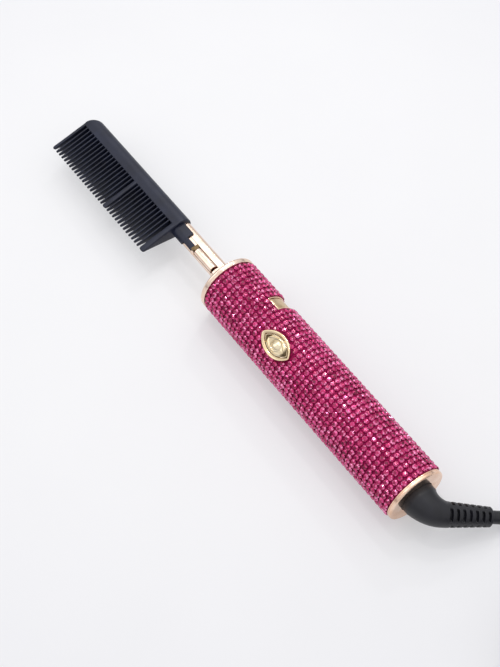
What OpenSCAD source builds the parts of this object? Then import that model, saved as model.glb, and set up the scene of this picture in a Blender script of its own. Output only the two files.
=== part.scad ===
// Corded electric hot comb: a hollow metal comb on a gilt neck, a round handle covered
// in stones, two push buttons, and a mains cord on a swivel at the rear.
// The handle lies along X with the comb toward +X and the teeth toward +Y.
// Working shapes are drawn about the handle's axis; placed() sets them on the floor.

/* [Handle] */
// Length of the handle tube and its covering of stones
handle_l = 145; // [120:1:180]
// Outside diameter of the handle tube
tube_d = 30; // [28:0.5:36]
// Wall of the handle tube
tube_wall = 1.8; // [1.4:0.1:2.2]
// Thickness of the mesh sheet that carries the stones
sheet_t = 0.35; // [0.2:0.05:0.6]

/* [Stones] */
// Girdle diameter of one stone
stone_d = 2.9; // [2.4:0.1:3.6]
// Height of one stone above its sheet
stone_h = 1.21; // [0.8:0.01:1.6]
// Diameter of the flat table on top of a stone
table_d = 1.5; // [1:0.1:2]
// Distance between stones along the handle
stone_pitch = 3.14; // [2.8:0.02:4]

/* [Power button] */
// Distance from the middle of the handle to the navette's centre
navette_x = 23; // [10:0.5:30]
// Turn of the navette from the top toward the teeth
navette_turn = 30.4; // [0:0.1:60]
// Length of the navette rim
navette_l = 20.2; // [16:0.1:24]
// Width of the navette rim
navette_w = 11.5; // [9:0.1:13]
// Width of the raised rim
rim_w = 1.5; // [1:0.1:2]
// Travel of the power button
power_travel = 0.8; // [0.3:0.1:1]

/* [Mode button] */
// Distance from the middle of the handle to the window's centre
window_x = 43; // [38:0.5:50]
// Length of the window along the handle
window_l = 8.8; // [7:0.1:12]
// Half of the angle that the window spans round the handle
window_half_angle = 41; // [25:1:42]
// Width of the window's frame
frame_w = 0.8; // [0.5:0.1:1.2]
// Travel of the mode button
mode_travel = 0.8; // [0.3:0.1:1]

/* [End caps] */
// Length of the front cap that shows
front_cap_l = 3.25; // [2.5:0.05:6]
// Depth of the front cap's rim below the tops of the stones
front_cap_inset = 0.11; // [0:0.01:0.4]
// Length of the rear cap that shows
rear_cap_l = 2.3; // [2:0.1:5]
// Depth of the rear cap's rim below the tops of the stones
rear_cap_inset = 0.66; // [0:0.01:0.8]
// Depth to which a cap's spigot enters the tube
spigot_l = 8; // [6:0.5:12]

/* [Neck] */
// Length of neck between the front cap and the comb
neck_l = 41.8; // [34:0.2:60]
// Width of the neck
neck_w = 10.4; // [9.8:0.1:10.6]
// Height of the neck
neck_h = 6.2; // [6:0.1:6.4]
// Wall of the neck
neck_wall = 1.2; // [0.8:0.1:1.4]
// Thickness of the black tang on top of the neck
tang_t = 0.9; // [0.6:0.1:0.9]

/* [Comb] */
// Width of the comb from its back to the tips
comb_w = 31; // [26:0.5:40]
// Radius of the comb's round back
back_r = 5.7; // [5.5:0.1:7]
// Radius of the heater bore
bore_r = 3.4; // [3:0.1:3.6]
// Thickness of one tooth
tooth_t = 0.95; // [0.7:0.05:1.4]
// Distance between teeth
tooth_pitch = 2.6; // [2.2:0.05:3.4]
// Teeth between the neck end and the divider
near_teeth = 12; // [4:1:16]
// Teeth between the divider and the far end
far_teeth = 18; // [6:1:24]
// Thickness of the divider
divider_t = 2.8; // [1.5:0.1:4]
// Thickness of the comb's end at the neck
near_end_t = 3.4; // [3:0.1:6]
// Thickness of the comb's far end
far_end_t = 1.8; // [1.2:0.1:4]
// Radius of the comb's far back corner
corner_r = 4.5; // [2:0.1:6]
// Slope of the comb's upper flank
upper_slope = 14; // [11:0.5:14.5]
// Slope of the comb's lower flank
lower_slope = 9.5; // [8:0.5:10]

/* [Cord] */
// Diameter of the mains cord
cord_d = 6.4; // [5.5:0.1:7]
// Diameter of the boot where it leaves the handle
boot_d = 17.9; // [15:0.1:19]
// Angle of the boot's bend
boot_bend = 59.9; // [0:0.1:60]
// Roll of the boot's bend below the horizontal
boot_roll = 20.3; // [0:0.1:30]
// Radius of the boot's bend
bend_r = 12.8; // [12:0.1:16]
// Number of ribs on the boot
boot_ribs = 7; // [4:1:9]

/* [Fits] */
// Gap between pieces that are pressed or glued together
seat_gap = 0.05; // [0.03:0.01:0.08]
// Radial gap of a running fit
run_gap = 0.06; // [0.04:0.01:0.1]
// Gap around a moving button
button_gap = 0.15; // [0.12:0.01:0.25]

/* [Hidden] */
$fn = 64;

// Colours
RUBY = "#b3225f";
SHEET_RED = "#7a1040";
CHAMPAGNE = "#d9b48f";
ROSE_GOLD = "#d8a58a";
YELLOW_GOLD = "#d9bf83";
COMB_BLACK = "#2c2d36";
RUBBER_BLACK = "#1c1c1f";
BRONZE = "#5a4526";

// Handle
tube_r = tube_d / 2;
bore_of_tube = tube_r - tube_wall;
sheet_r = tube_r + sheet_t;
stone_r = sheet_r + stone_h;
front_x = handle_l / 2;
rear_x = -handle_l / 2;
stone_end_gap = 0.4;
stone_run = handle_l - stone_d - 2 * stone_end_gap;
stone_columns = round(stone_run / stone_pitch) + 1;
stone_step = stone_run / (stone_columns - 1);
stone_side_gap = 0.1;
stone_rows = floor(180 / asin((stone_d + stone_side_gap) / 2 / sheet_r));
stone_margin = stone_d / 2 + stone_side_gap;
stone_keep = 0.35;

// Navette
plate_floor_t = 0.5;
power_stem_d = 5;
rim_top_r = stone_r + 0.65;
plate_clear = 0.12;
plate_r = tube_r + power_travel + plate_clear;
well_l = navette_l - 2 * rim_w - 1.1;
well_w = navette_w - 2 * rim_w;
plate_l = well_l - 2 * button_gap;
plate_w = well_w - 2 * button_gap;
dome_r = 9;
dome_top = rim_top_r + 0.25;

// Window
window_turn = navette_turn - 90;
window_w = 2 * tube_r * sin(window_half_angle);
frame_r = tube_r + 0.3;
key_l = window_l - 2 * frame_w - 2 * button_gap;
key_w = window_w - 2 * frame_w - 2 * button_gap;
key_t = 1.4;
key_r = tube_r - 0.1;
mode_stem_d = 3.2;

// Board and tray, in the chassis frame whose up is the navette's normal
board_t = 1.6;
board_top = -1.75;
board_w = 20.8;
board_front = window_x + 7.5;
board_rear = rear_x + 22.5;
tray_r = bore_of_tube - 0.1;
tray_wall = 1.4;
switch_h = 3.6;
switch_top = board_top + switch_h;
power_plunger_d = 3;
power_plunger_top = 5.5;
plunger_sink = 1.6;
mode_switch_y = -9.4;
mode_stem_y = -10.6;
mode_plunger_d = 2.4;
screw_x = [board_rear + 5, window_x - window_l / 2 - 3.3];
screw_y = 7.6;
lead_d = 1.3;
lead_y = [-2.2, -0.2];
lead_z = -1.05;

// Caps
spigot_r = bore_of_tube - seat_gap;
spigot_wall = 1.7;
cap_edge = 1.3;
flange_r = spigot_r - spigot_wall - 0.6;
flange_t = 1.8;
neck_screw_y = 7.6;
rear_face_x = rear_x - rear_cap_l;
rear_wall = 3.3;
rear_rim = 1.6;
rear_rim_depth = 0.9;

// Neck section: a rounded rectangle, flat on top
neck_y = -1.4;
neck_z = -1;
neck_start = front_x + front_cap_l;
comb_x = neck_start + neck_l;
neck_entry = 2.4;
neck_top = neck_z + neck_h / 2;
slot_y = [-1.1, 3.5];
slot_start = comb_x - 33.4;
cover_l = 14.5;
cover_x = slot_start + 0.8;
cover_r = (slot_y[1] - slot_y[0]) / 2 - seat_gap;
cover_y = (slot_y[0] + slot_y[1]) / 2;
cover_bottom = 0.35;
cover_axis_z = 1;
latch_x = cover_x + cover_l + 0.1;
latch_l = 3.4;
tongue_start = latch_x + latch_l - 0.6;
tang_start = comb_x - 8.7;
tang_end = comb_x + 1.3;
tang_low = [-3.2, -0.8];
tongue_low = [0.7, 0.8];
rivet_turn = 61;
rivet_r = 0.55;
rivet_head_r = 1.15;
rivet_head_t = 0.55;

// Comb section: round back centred on the bore, flanks tangent to it
bore_y = -1.67;
bore_z = -0.5;
tip_y = bore_y - back_r + comb_w;
tip_round = 0.45;
gap_w = tooth_pitch - tooth_t;
divider_step = 3.1;
root_y = bore_y + bore_r + 0.8;
near_tooth_x = comb_x + near_end_t + gap_w;
divider_x = near_tooth_x + (near_teeth - 1) * tooth_pitch + tooth_t / 2 + divider_step;
far_tooth_x = divider_x + divider_step - tooth_t / 2;
comb_end = far_tooth_x + (far_teeth - 1) * tooth_pitch + tooth_t + gap_w + far_end_t;
mouth_depth = 2.6;
mouth_grow = 0.12;
nose_r = bore_r - seat_gap;
nose_bore = 2.2;
nose_l = 12;
heater_start = comb_x + nose_l + 1.5;
heater_end = comb_end - 12;
heater_w = 4.5;
heater_t = 1.5;
probe_d = 1.6;

// Frame of the finished part: the middle of everything but the cord, on the floor
mid_x = (rear_face_x + comb_end) / 2;
mid_y = (tip_y - stone_r) / 2;

// Swivel
boot_r = boot_d / 2;
collar_r = 7;
collar_flange_r = 10.2;
collar_flange_t = 1.6;
hole_r = boot_r + run_gap;
flange_x = rear_face_x + rear_wall + 0.3;
retainer_x = flange_x + collar_flange_t + 0.3;
retainer_t = 1.8;
collar_end = retainer_x + retainer_t + 1;
pin_l = 1.6;
ring_x = collar_end + pin_l + 0.1;
ring_t = 0.5;
plate_x = ring_x + ring_t;
contact_plate_t = 1.4;
ring_radii = [[2, 3.2], [4.6, 5.8]];
contact_r = spigot_r - spigot_wall - seat_gap;
boot_straight = 3.4;
rib_start_r = 6.1;
rib_end_r = 5.35;
rib_core = 1.5;
rib_pitch = 3.05;
rib_w = 1.75;
ribs_l = boot_ribs * rib_pitch;
boot_arc_x = rear_face_x - boot_straight;
boot_steps = 12;

// Cord on the floor, in the finished part's frame
cord_r = cord_d / 2;
cord_route = [[-166, -27.4, 7.9], [-167, -29, 7.3], [-170.3, -34, 5.6], [-174.8, -39, 4.6],
    [-183, -43.7, 4.2], [-193, -45.3, 4.2], [-205, -45.3, 4.2], [-218, -45.3, 4.2], [-232, -45.3, 4.2]];
lead_route = [[-221.4, -9.9, 19], [-218.8, -19.5, 20.2], [-221.4, -29.1, 21.6], [-228.4, -36.1, 22.8],
    [-238, -38.7, 23.4], [-252, -39.6, 23.4], [-267, -40.9, 23.4], [-282, -41.7, 23.4], [-297, -42, 23.4],
    [-311, -42, 23.4], [-324, -42, 23.4], [-335.3, -39, 23.4], [-343.5, -30.8, 23.6], [-346.5, -19.5, 24.4],
    [-343.5, -8.3, 25.4], [-335.3, 0, 26.2], [-324, 3, 26.5], [-315, 3, 26.5]];
hank_centre = [-281, -19.5, 0];
hank_run = 86;
hank_inner = 15.8;
hank_outer = 29.2;
hank_low = 1;
hank_h = 19.2;
tie_t = 0.9;
tie_w = 8;
tie_gap = 0.4;
tie_x = 23;
tie_hump = [-24.4, -17.2, 26.8];
plug_l = 36;
plug_w = 24;
plug_h = 12.4;
plug_seat = [-315, 3, 26.5];
blade_spacing = 12.7;
blade_l = 17.5;
blade_w = 6.35;
blade_t = 1.5;

// ---- shared helpers ----

// Stands the working shapes on the floor under the middle of the part
module placed() {
    translate([-mid_x, -mid_y, stone_r]) children();
}

// Turns +Z to a direction round the handle, measured from the top toward the teeth
module facing(turn) {
    rotate([-turn, 0, 0]) children();
}

// Cylinder along X from x0 to x1
module rod(x0, x1, r) {
    translate([x0, 0, 0]) rotate([0, 90, 0]) cylinder(r = r, h = x1 - x0);
}

// Outline drawn in Y and Z, extruded along X
module along_x(x0, x1) {
    translate([x0, 0, 0]) rotate([90, 0, 90]) linear_extrude(x1 - x0) children();
}

// Profile drawn as [distance along X, radius], revolved about X
module turned(profile) {
    rotate([0, 90, 0]) rotate_extrude() polygon([for (p = profile) [p[1], p[0]]]);
}

// Flat oval with round ends, w wide and h high
module oval(w, h) {
    translate([-(w - h) / 2, 0]) circle(d = h);
    translate([(w - h) / 2, 0]) circle(d = h);
    square([w - h, h], center = true);
}

// Pointed lens along X, l long and w wide
module lens(l, w) {
    r = (l * l + w * w) / (4 * w);
    intersection() {
        translate([0, r - w / 2]) circle(r = r, $fn = 96);
        translate([0, w / 2 - r]) circle(r = r, $fn = 96);
    }
}

// Lens-shaped column on the navette's centre, from height z0 to z1
module lens_column(l, w, z0, z1) {
    facing(navette_turn) translate([navette_x, 0, z0]) linear_extrude(z1 - z0) lens(l, w);
}

// Rectangular column on the window's centre
module window_column(l, w, z0, z1) {
    facing(window_turn) translate([window_x - l / 2, -w / 2, z0]) cube([l, w, z1 - z0]);
}

// Tube of the handle's section between two radii
module shell(x0, x1, r0, r1) {
    difference() {
        rod(x0, x1, r1);
        rod(x0 - 1, x1 + 1, r0);
    }
}

// Box from one corner to the other
module block(low, high) {
    translate(low) cube(high - low);
}

function unit(v) = v / norm(v);
function blend_at(a, b, t) = a + (b - a) * t;

// Round tube swept along points, with a radius for each point
module swept(points, radii, sides) {
    last = len(points) - 1;
    rings = [for (i = [0:last])
        let (ahead = points[min(i + 1, last)] - points[max(i - 1, 0)],
             side = unit(cross(ahead, [0, 0, 1])),
             over = unit(cross(ahead, side)))
        [for (k = [0:sides - 1]) points[i] + radii[i] * (cos(360 * k / sides) * side
            + sin(360 * k / sides) * over)]];
    polyhedron(
        points = [for (ring = rings) each ring],
        faces = concat(
            [[for (k = [0:sides - 1]) k]],
            [for (i = [0:last - 1]) for (k = [0:sides - 1])
                let (a = i * sides + k, b = i * sides + (k + 1) % sides)
                [a, a + sides, b + sides, b]],
            [[for (k = [sides - 1:-1:0]) last * sides + k]]));
}

// ---- comb ----

// Section of the comb's blade: flanks tangent to the round back, down to the rounded tips
module blade_section() {
    upper = [bore_y + back_r * sin(upper_slope), bore_z + back_r * cos(upper_slope)];
    lower = [bore_y + back_r * sin(lower_slope), bore_z - back_r * cos(lower_slope)];
    upper_tip = upper[1] - (tip_y - upper[0]) * tan(upper_slope);
    lower_tip = lower[1] + (tip_y - lower[0]) * tan(lower_slope);
    polygon([
        [bore_y, bore_z],
        upper - 0.01 * [sin(upper_slope), cos(upper_slope)],
        [tip_y - tip_round, upper_tip + tip_round * tan(upper_slope)],
        [tip_y, upper_tip - tip_round * 0.6],
        [tip_y, lower_tip + tip_round * 0.6],
        [tip_y - tip_round, lower_tip - tip_round * tan(lower_slope)],
        lower - 0.01 * [sin(lower_slope), -cos(lower_slope)]]);
}

// Slots between the teeth, from the root to beyond the tips
module tooth_gap(x0, x1) {
    block([x0, root_y, bore_z - 2 * back_r], [x1, tip_y + 1, bore_z + 2 * back_r]);
}

module comb_gaps() {
    for (i = [0:near_teeth - 1])
        tooth_gap(near_tooth_x - gap_w + i * tooth_pitch, near_tooth_x + i * tooth_pitch);
    tooth_gap(near_tooth_x + (near_teeth - 1) * tooth_pitch + tooth_t, divider_x - divider_t / 2);
    tooth_gap(divider_x + divider_t / 2, far_tooth_x);
    for (i = [1:far_teeth])
        tooth_gap(far_tooth_x + i * tooth_pitch - gap_w, far_tooth_x + i * tooth_pitch);
}

// Mouth that takes the neck's end and the tang
module comb_mouth() {
    along_x(comb_x - 1, comb_x + mouth_depth) {
        neck_outline(mouth_grow);
        intersection() {
            neck_outline(tang_t + mouth_grow);
            translate(tang_low - [mouth_grow, mouth_grow]) square(20);
        }
    }
}

module comb_body() {
    color(COMB_BLACK) placed() difference() {
        union() {
            translate([0, bore_y, bore_z]) rod(comb_x, comb_end, back_r);
            along_x(comb_x, comb_end) blade_section();
        }
        comb_gaps();
        comb_mouth();
        translate([0, bore_y, bore_z]) rod(comb_x, heater_end + 1, bore_r);
        translate([comb_end - corner_r, bore_y - back_r + corner_r, bore_z - 10]) difference() {
            translate([0, -corner_r - 1, 0]) cube([corner_r + 1, corner_r + 1, 20]);
            translate([0, 0, -1]) cylinder(r = corner_r, h = 22);
        }
    }
}

// Aluminium bar that carries the heater's warmth to the comb
module heat_spreader() {
    color("silver") placed() translate([0, bore_y, bore_z]) difference() {
        rod(heater_start, heater_end, bore_r - seat_gap);
        block([heater_start - 1, -heater_w / 2 - seat_gap, -heater_t / 2 - seat_gap],
            [heater_end - 4, heater_w / 2 + seat_gap, heater_t / 2 + seat_gap]);
        translate([0, 0, -2]) rod(heater_start - 1, heater_start + 12, probe_d / 2 + seat_gap);
    }
}

module ptc_heater() {
    color("dimgray") placed() translate([0, bore_y, bore_z])
        block([heater_start - 1, -heater_w / 2, -heater_t / 2],
            [heater_end - 4.5, heater_w / 2, heater_t / 2]);
}

module temperature_probe() {
    color("gold") placed() translate([0, bore_y, bore_z - 2])
        rod(heater_start + 0.5, heater_start + 11.5, probe_d / 2);
}

// ---- neck ----

module neck_outline(grow) {
    translate([neck_y, neck_z]) oval(neck_w + 2 * grow, neck_h + 2 * grow);
}

module neck_channel() {
    color(CHAMPAGNE) placed() difference() {
        union() {
            along_x(neck_start - front_cap_l - flange_t, comb_x + neck_entry) neck_outline(0);
            rod(neck_start - front_cap_l - flange_t - seat_gap, neck_start - front_cap_l - seat_gap,
                flange_r);
            translate([0, bore_y, bore_z]) rod(comb_x + neck_entry - 1, comb_x + nose_l, nose_r);
        }
        along_x(neck_start - front_cap_l - flange_t - 1, comb_x + neck_entry - neck_wall)
            neck_outline(-neck_wall);
        translate([0, bore_y, bore_z]) rod(comb_x, comb_x + nose_l + 1, nose_bore);
        block([slot_start, slot_y[0], 0], [comb_x - 1, slot_y[1], neck_top + 1]);
        for (side = [-1, 1]) translate([0, side * neck_screw_y, 0])
            rod(neck_start - front_cap_l - flange_t - 1, neck_start, 1.35);
        at_rivet() cylinder(r = rivet_r + seat_gap, h = neck_h);
    }
}

// Raised half-round strip that closes the handle end of the neck's slot, and the flush strip under
// the tang that closes the rest
module neck_cover() {
    color(CHAMPAGNE) placed() along_x(latch_x + latch_l, comb_x - 1 - seat_gap) intersection() {
        difference() {
            neck_outline(-0.1);
            neck_outline(-neck_wall);
        }
        translate([slot_y[0] + seat_gap, seat_gap])
            square([slot_y[1] - slot_y[0] - 2 * seat_gap, neck_h]);
    }
    color(CHAMPAGNE) placed() intersection() {
        translate([0, cover_y, cover_axis_z]) rod(cover_x, cover_x + cover_l, cover_r);
        block([cover_x, slot_y[0] - 1, cover_bottom], [cover_x + cover_l, slot_y[1] + 1, neck_top + 3]);
        union() {
            translate([cover_x + 1.8, slot_y[1] - 1.85, -5]) cylinder(r = 1.8, h = 12);
            block([cover_x + 1.8, slot_y[0] - 1, -5], [cover_x + cover_l, slot_y[1] + 1, 7]);
            block([cover_x, slot_y[0] - 1, -5], [cover_x + 2, slot_y[1] - 1.85, 7]);
        }
    }
}

// Small bronze catch between the strip and the tang, with a seat for the rivet at its side
module latch_tip() {
    color(BRONZE) placed() difference() {
        translate([0, 0, cover_bottom]) linear_extrude(neck_top + 0.55 - cover_bottom) polygon([
            [latch_x, cover_y - 0.9],
            [latch_x + 1.2, slot_y[0] + seat_gap],
            [latch_x + latch_l - 0.8, slot_y[0] + seat_gap],
            [latch_x + latch_l - 0.8, slot_y[1] - seat_gap],
            [latch_x + 1.2, slot_y[1] - seat_gap],
            [latch_x, cover_y + 0.9]]);
        at_rivet() {
            cylinder(r = rivet_r + seat_gap, h = neck_h);
            translate([0, 0, neck_h / 2 - seat_gap]) cylinder(r = rivet_head_r + seat_gap, h = 3);
        }
    }
}

// Black plate that comes out of the comb and wraps over the neck
module tang_piece(x0, x1, low) {
    along_x(x0, x1) intersection() {
        difference() {
            neck_outline(tang_t);
            neck_outline(seat_gap);
        }
        translate(low) square(20);
    }
}

module comb_tang() {
    color(COMB_BLACK) placed() {
        tang_piece(tang_start, tang_end, tang_low);
        tang_piece(tongue_start, tang_start, tongue_low);
    }
}

// Stands at the neck's rounded side beside the catch, looking outward
module at_rivet() {
    translate([latch_x + 1, neck_y + (neck_w - neck_h) / 2, neck_z]) facing(rivet_turn) children();
}

module neck_rivet() {
    color(CHAMPAGNE) placed() at_rivet() {
        translate([0, 0, neck_h / 2 - neck_wall - 0.4]) cylinder(r = rivet_r, h = neck_wall + 0.5);
        translate([0, 0, neck_h / 2]) cylinder(r = rivet_head_r, h = rivet_head_t);
    }
}

module neck_screws() {
    color("silver") placed() for (side = [-1, 1]) translate([0, side * neck_screw_y, 0]) {
        head_x = neck_start - front_cap_l - flange_t - seat_gap;
        rod(head_x - 1.6, head_x, 2);
        rod(head_x - 0.1, head_x + flange_t + 2.2, 1.2);
    }
}

module thermal_fuse() {
    color("silver") placed() translate([0, neck_y - (neck_w - neck_h) / 2 - 0.6, neck_z - 0.3])
        rod(comb_x - 22, comb_x - 13, 0.85);
}

module heater_leads() {
    color("firebrick") placed() facing(navette_turn) for (y = lead_y)
        translate([0, y, lead_z]) rod(board_front - 2, heater_start - 1, lead_d / 2);
}

// ---- handle ----

module front_cap() {
    r = stone_r - front_cap_inset;
    color(CHAMPAGNE) placed() difference() {
        turned(concat(
            [[front_x - spigot_l, spigot_r - spigot_wall], [front_x - spigot_l, spigot_r]],
            [[front_x, spigot_r], [front_x, r - 0.3], [front_x + 0.3, r]],
            [for (a = [0:15:90])
                [neck_start - cap_edge + cap_edge * sin(a), r - cap_edge + cap_edge * cos(a)]],
            [[neck_start, 0], [front_x, 0], [front_x, spigot_r - spigot_wall]]));
        along_x(front_x - 1, neck_start + 1) neck_outline(seat_gap);
        for (side = [-1, 1]) translate([0, side * neck_screw_y, 0]) rod(front_x - 1, front_x + 2.4, 1.25);
    }
}

module handle_tube() {
    color(CHAMPAGNE) placed() difference() {
        shell(rear_x, front_x, bore_of_tube, tube_r);
        facing(navette_turn) translate([navette_x, 0, 0]) cylinder(d = power_stem_d + 2 * run_gap, h = 30);
        window_column(window_l + 2 * seat_gap, window_w + 2 * seat_gap, 5, 30);
    }
}

module stone_sheet() {
    color(SHEET_RED) placed() difference() {
        shell(rear_x, front_x, tube_r, sheet_r);
        lens_column(navette_l + 2 * seat_gap, navette_w + 2 * seat_gap, 5, 30);
        window_column(window_l + 2 * seat_gap, window_w + 2 * seat_gap, 5, 30);
    }
}

// True where a stone's middle lies on the navette's rim or within a margin of it
function on_navette(x, turn, margin) =
    let (r = (pow(navette_l, 2) + pow(navette_w, 2)) / (4 * navette_w),
         across = sheet_r * sin(turn - navette_turn),
         along = x - navette_x)
    cos(turn - navette_turn) > 0
        && norm([along, abs(across) + r - navette_w / 2]) < r + margin;

// True where a stone's middle lies on the window's frame or within a margin of it
function on_window(x, turn, margin) =
    cos(turn - window_turn) > 0 && abs(x - window_x) < window_l / 2 + margin
        && abs(sheet_r * sin(turn - window_turn)) < window_w / 2 + margin * cos(window_half_angle);

// Square grid of cut stones, left out under the navette and the window and trimmed at their edges
module rhinestones() {
    color(RUBY) placed()
        for (i = [0:stone_columns - 1], k = [0:stone_rows - 1]) {
            x = (i - (stone_columns - 1) / 2) * stone_step;
            turn = k * 360 / stone_rows;
            if (!on_navette(x, turn, stone_keep) && !on_window(x, turn, stone_keep)) {
                if (on_navette(x, turn, stone_margin) || on_window(x, turn, stone_margin))
                    difference() {
                        stone(x, turn);
                        lens_column(navette_l + 2 * seat_gap, navette_w + 2 * seat_gap, 5, 30);
                        window_column(window_l + 2 * seat_gap, window_w + 2 * seat_gap, 5, 30);
                    }
                else stone(x, turn);
            }
        }
}

module stone(x, turn) {
    facing(turn) translate([x, 0, sheet_r]) cylinder(d1 = stone_d, d2 = table_d, h = stone_h, $fn = 16);
}

// ---- buttons ----

module navette_rim() {
    color(YELLOW_GOLD) placed() difference() {
        intersection() {
            lens_column(navette_l, navette_w, 5, 30);
            shell(navette_x - navette_l, navette_x + navette_l, tube_r, rim_top_r);
        }
        lens_column(well_l, well_w, 5, 30);
    }
}

module power_button() {
    color(YELLOW_GOLD) placed() {
        intersection() {
            lens_column(plate_l, plate_w, 5, 30);
            shell(navette_x - navette_l, navette_x + navette_l, plate_r, plate_r + plate_floor_t);
        }
        facing(navette_turn) translate([navette_x, 0, 0]) {
            difference() {
                intersection() {
                    translate([0, 0, plate_r - 1]) linear_extrude(5) lens(plate_l - 3.4, plate_w - 1.6);
                    translate([0, 0, dome_top - dome_r]) sphere(r = dome_r);
                }
                rod(-navette_l, navette_l, plate_r);
            }
            translate([0, 0, power_plunger_top])
                cylinder(d = power_stem_d, h = plate_r - power_plunger_top + 0.2);
        }
    }
}

module power_plunger() {
    color("black") placed() facing(navette_turn) translate([navette_x, 0, switch_top - plunger_sink])
        cylinder(d = power_plunger_d, h = power_plunger_top - switch_top + plunger_sink);
}

module power_switch() {
    color("dimgray") placed() facing(navette_turn) difference() {
        block([navette_x - 3, -3, board_top], [navette_x + 3, 3, switch_top]);
        translate([navette_x, 0, board_top + 0.6]) cylinder(d = power_plunger_d + 2 * run_gap, h = 10);
    }
}

module window_frame() {
    color(ROSE_GOLD) placed() intersection() {
        difference() {
            window_column(window_l, window_w, 5, 30);
            window_column(window_l - 2 * frame_w, window_w - 2 * frame_w, 4, 31);
        }
        shell(window_x - window_l, window_x + window_l, bore_of_tube + 0.05, frame_r);
    }
}

module mode_button() {
    color(YELLOW_GOLD) placed() {
        intersection() {
            window_column(key_l, key_w, 5, 30);
            shell(window_x - window_l, window_x + window_l, key_r - key_t, key_r);
        }
        facing(window_turn) translate([window_x, 0, -mode_stem_y])
            cylinder(d = mode_stem_d, h = key_r - key_t + 0.2 + mode_stem_y);
    }
}

module mode_plunger() {
    color("black") placed() facing(window_turn) translate([window_x, 0, -mode_switch_y - plunger_sink])
        cylinder(d = mode_plunger_d, h = mode_switch_y - mode_stem_y + plunger_sink);
}

module mode_switch() {
    color("dimgray") placed() facing(navette_turn) difference() {
        block([window_x - 3, mode_switch_y, board_top], [window_x + 3, mode_switch_y + 4, -board_top]);
        translate([window_x, mode_switch_y - 1, 0]) rotate([-90, 0, 0])
            cylinder(d = mode_plunger_d + 2 * run_gap, h = 4.2);
    }
}

// ---- inside the handle ----

module board_tray() {
    color("white") placed() facing(navette_turn) difference() {
        union() {
            along_x(rear_x + spigot_l + 2.5, front_x - spigot_l - 0.3) union() {
                intersection() {
                    difference() {
                        circle(r = tray_r);
                        circle(r = tray_r - tray_wall);
                    }
                    translate([-20, -40 + board_top]) square([40, 40]);
                }
                for (side = [-1, 1]) intersection() {
                    circle(r = tray_r - 0.5);
                    translate([side * (board_w / 2 + 0.1) - 1.2, board_top - board_t - 1.2])
                        square([2.4, 1.2]);
                }
            }
            for (x = screw_x, side = [-1, 1]) intersection() {
                translate([x, side * screw_y, -tray_r]) cylinder(r = 2.2, h = tray_r + board_top - board_t);
                rod(x - 5, x + 5, tray_r - 0.3);
            }
        }
        for (x = screw_x, side = [-1, 1]) translate([x, side * screw_y, board_top - 7])
            cylinder(r = 1, h = 10);
        block([window_x - window_l / 2 - 1, -tray_r - 1, -11], [window_x + window_l / 2 + 1, -8.2, 0]);
    }
}

module circuit_board() {
    color("darkgreen") placed() facing(navette_turn) difference() {
        block([board_rear, -board_w / 2, board_top - board_t], [board_front, board_w / 2, board_top]);
        for (x = screw_x, side = [-1, 1])
            translate([x, side * screw_y, board_top - 5]) cylinder(r = 1.1, h = 10);
    }
}

// Triac, capacitor, controller and fuse on the board
module board_parts() {
    color("black") placed() facing(navette_turn) {
        block([-6, -6, board_top], [4, -1, board_top + 8]);
        translate([-22, 2, board_top + 4]) rod(0, 12, 4);
        block([6, 1, board_top], [14, 7, board_top + 1.6]);
        block([-38, -5, board_top], [-28, 3, board_top + 6]);
    }
}

module board_screws() {
    color("silver") placed() facing(navette_turn) for (x = screw_x, side = [-1, 1])
        translate([x, side * screw_y, board_top]) {
            cylinder(r = 1.9, h = 1.2);
            translate([0, 0, -6]) cylinder(r = 0.95, h = 6.1);
        }
}

// ---- rear end ----

module rear_cap() {
    r = stone_r - rear_cap_inset;
    inner = spigot_r - spigot_wall;
    color(ROSE_GOLD) placed() turned(concat(
        [[rear_x + spigot_l, inner], [rear_x + spigot_l, spigot_r], [rear_x, spigot_r], [rear_x, r - 0.25],
            [rear_x - 0.25, r]],
        [for (a = [0:15:90])
            [rear_face_x + rear_rim_depth - rear_rim_depth * sin(a), r - rear_rim + rear_rim * cos(a)]],
        [[rear_face_x, hole_r], [rear_face_x + rear_wall, hole_r], [rear_face_x + rear_wall, inner]]));
}

module swivel_retainer() {
    color("white") placed()
        shell(retainer_x, retainer_x + retainer_t, collar_r + run_gap, spigot_r - spigot_wall - seat_gap);
}

// Hard collar inside the boot: flange, journal and closed inner end
module swivel_collar() {
    color("dimgray") placed() turned([[rear_face_x - 2, 4], [rear_face_x - 2, collar_r],
        [flange_x, collar_r], [flange_x, collar_flange_r], [flange_x + collar_flange_t, collar_flange_r],
        [flange_x + collar_flange_t, collar_r], [collar_end, collar_r], [collar_end, 0],
        [collar_end - 1.4, 0],
        [collar_end - 1.4, 4]]);
}

module contact_pins() {
    color("gold") placed() for (r = ring_radii) translate([0, 0, (r[0] + r[1]) / 2])
        rod(collar_end, collar_end + pin_l, 0.5);
}

module contact_rings() {
    color("gold") placed() for (r = ring_radii) shell(ring_x, ring_x + ring_t, r[0], r[1]);
}

module contact_plate() {
    color("peru") placed() rod(plate_x, plate_x + contact_plate_t, contact_r);
}

module mains_leads() {
    color("saddlebrown") placed() facing(navette_turn) for (y = [-2.5, 2.5])
        translate([0, y, board_top + 0.8]) rod(plate_x + contact_plate_t, board_rear + 3, 0.75);
}

// Rubber boot: round base, tapered bend and a ribbed tail, bent toward -Y before its roll
function boot_point(a) = [boot_arc_x - bend_r * sin(a), -bend_r * (1 - cos(a)), 0];
function boot_radius(s) = blend_at(boot_r - 0.1, rib_start_r + 0.25, pow(s, 0.85));

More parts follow.
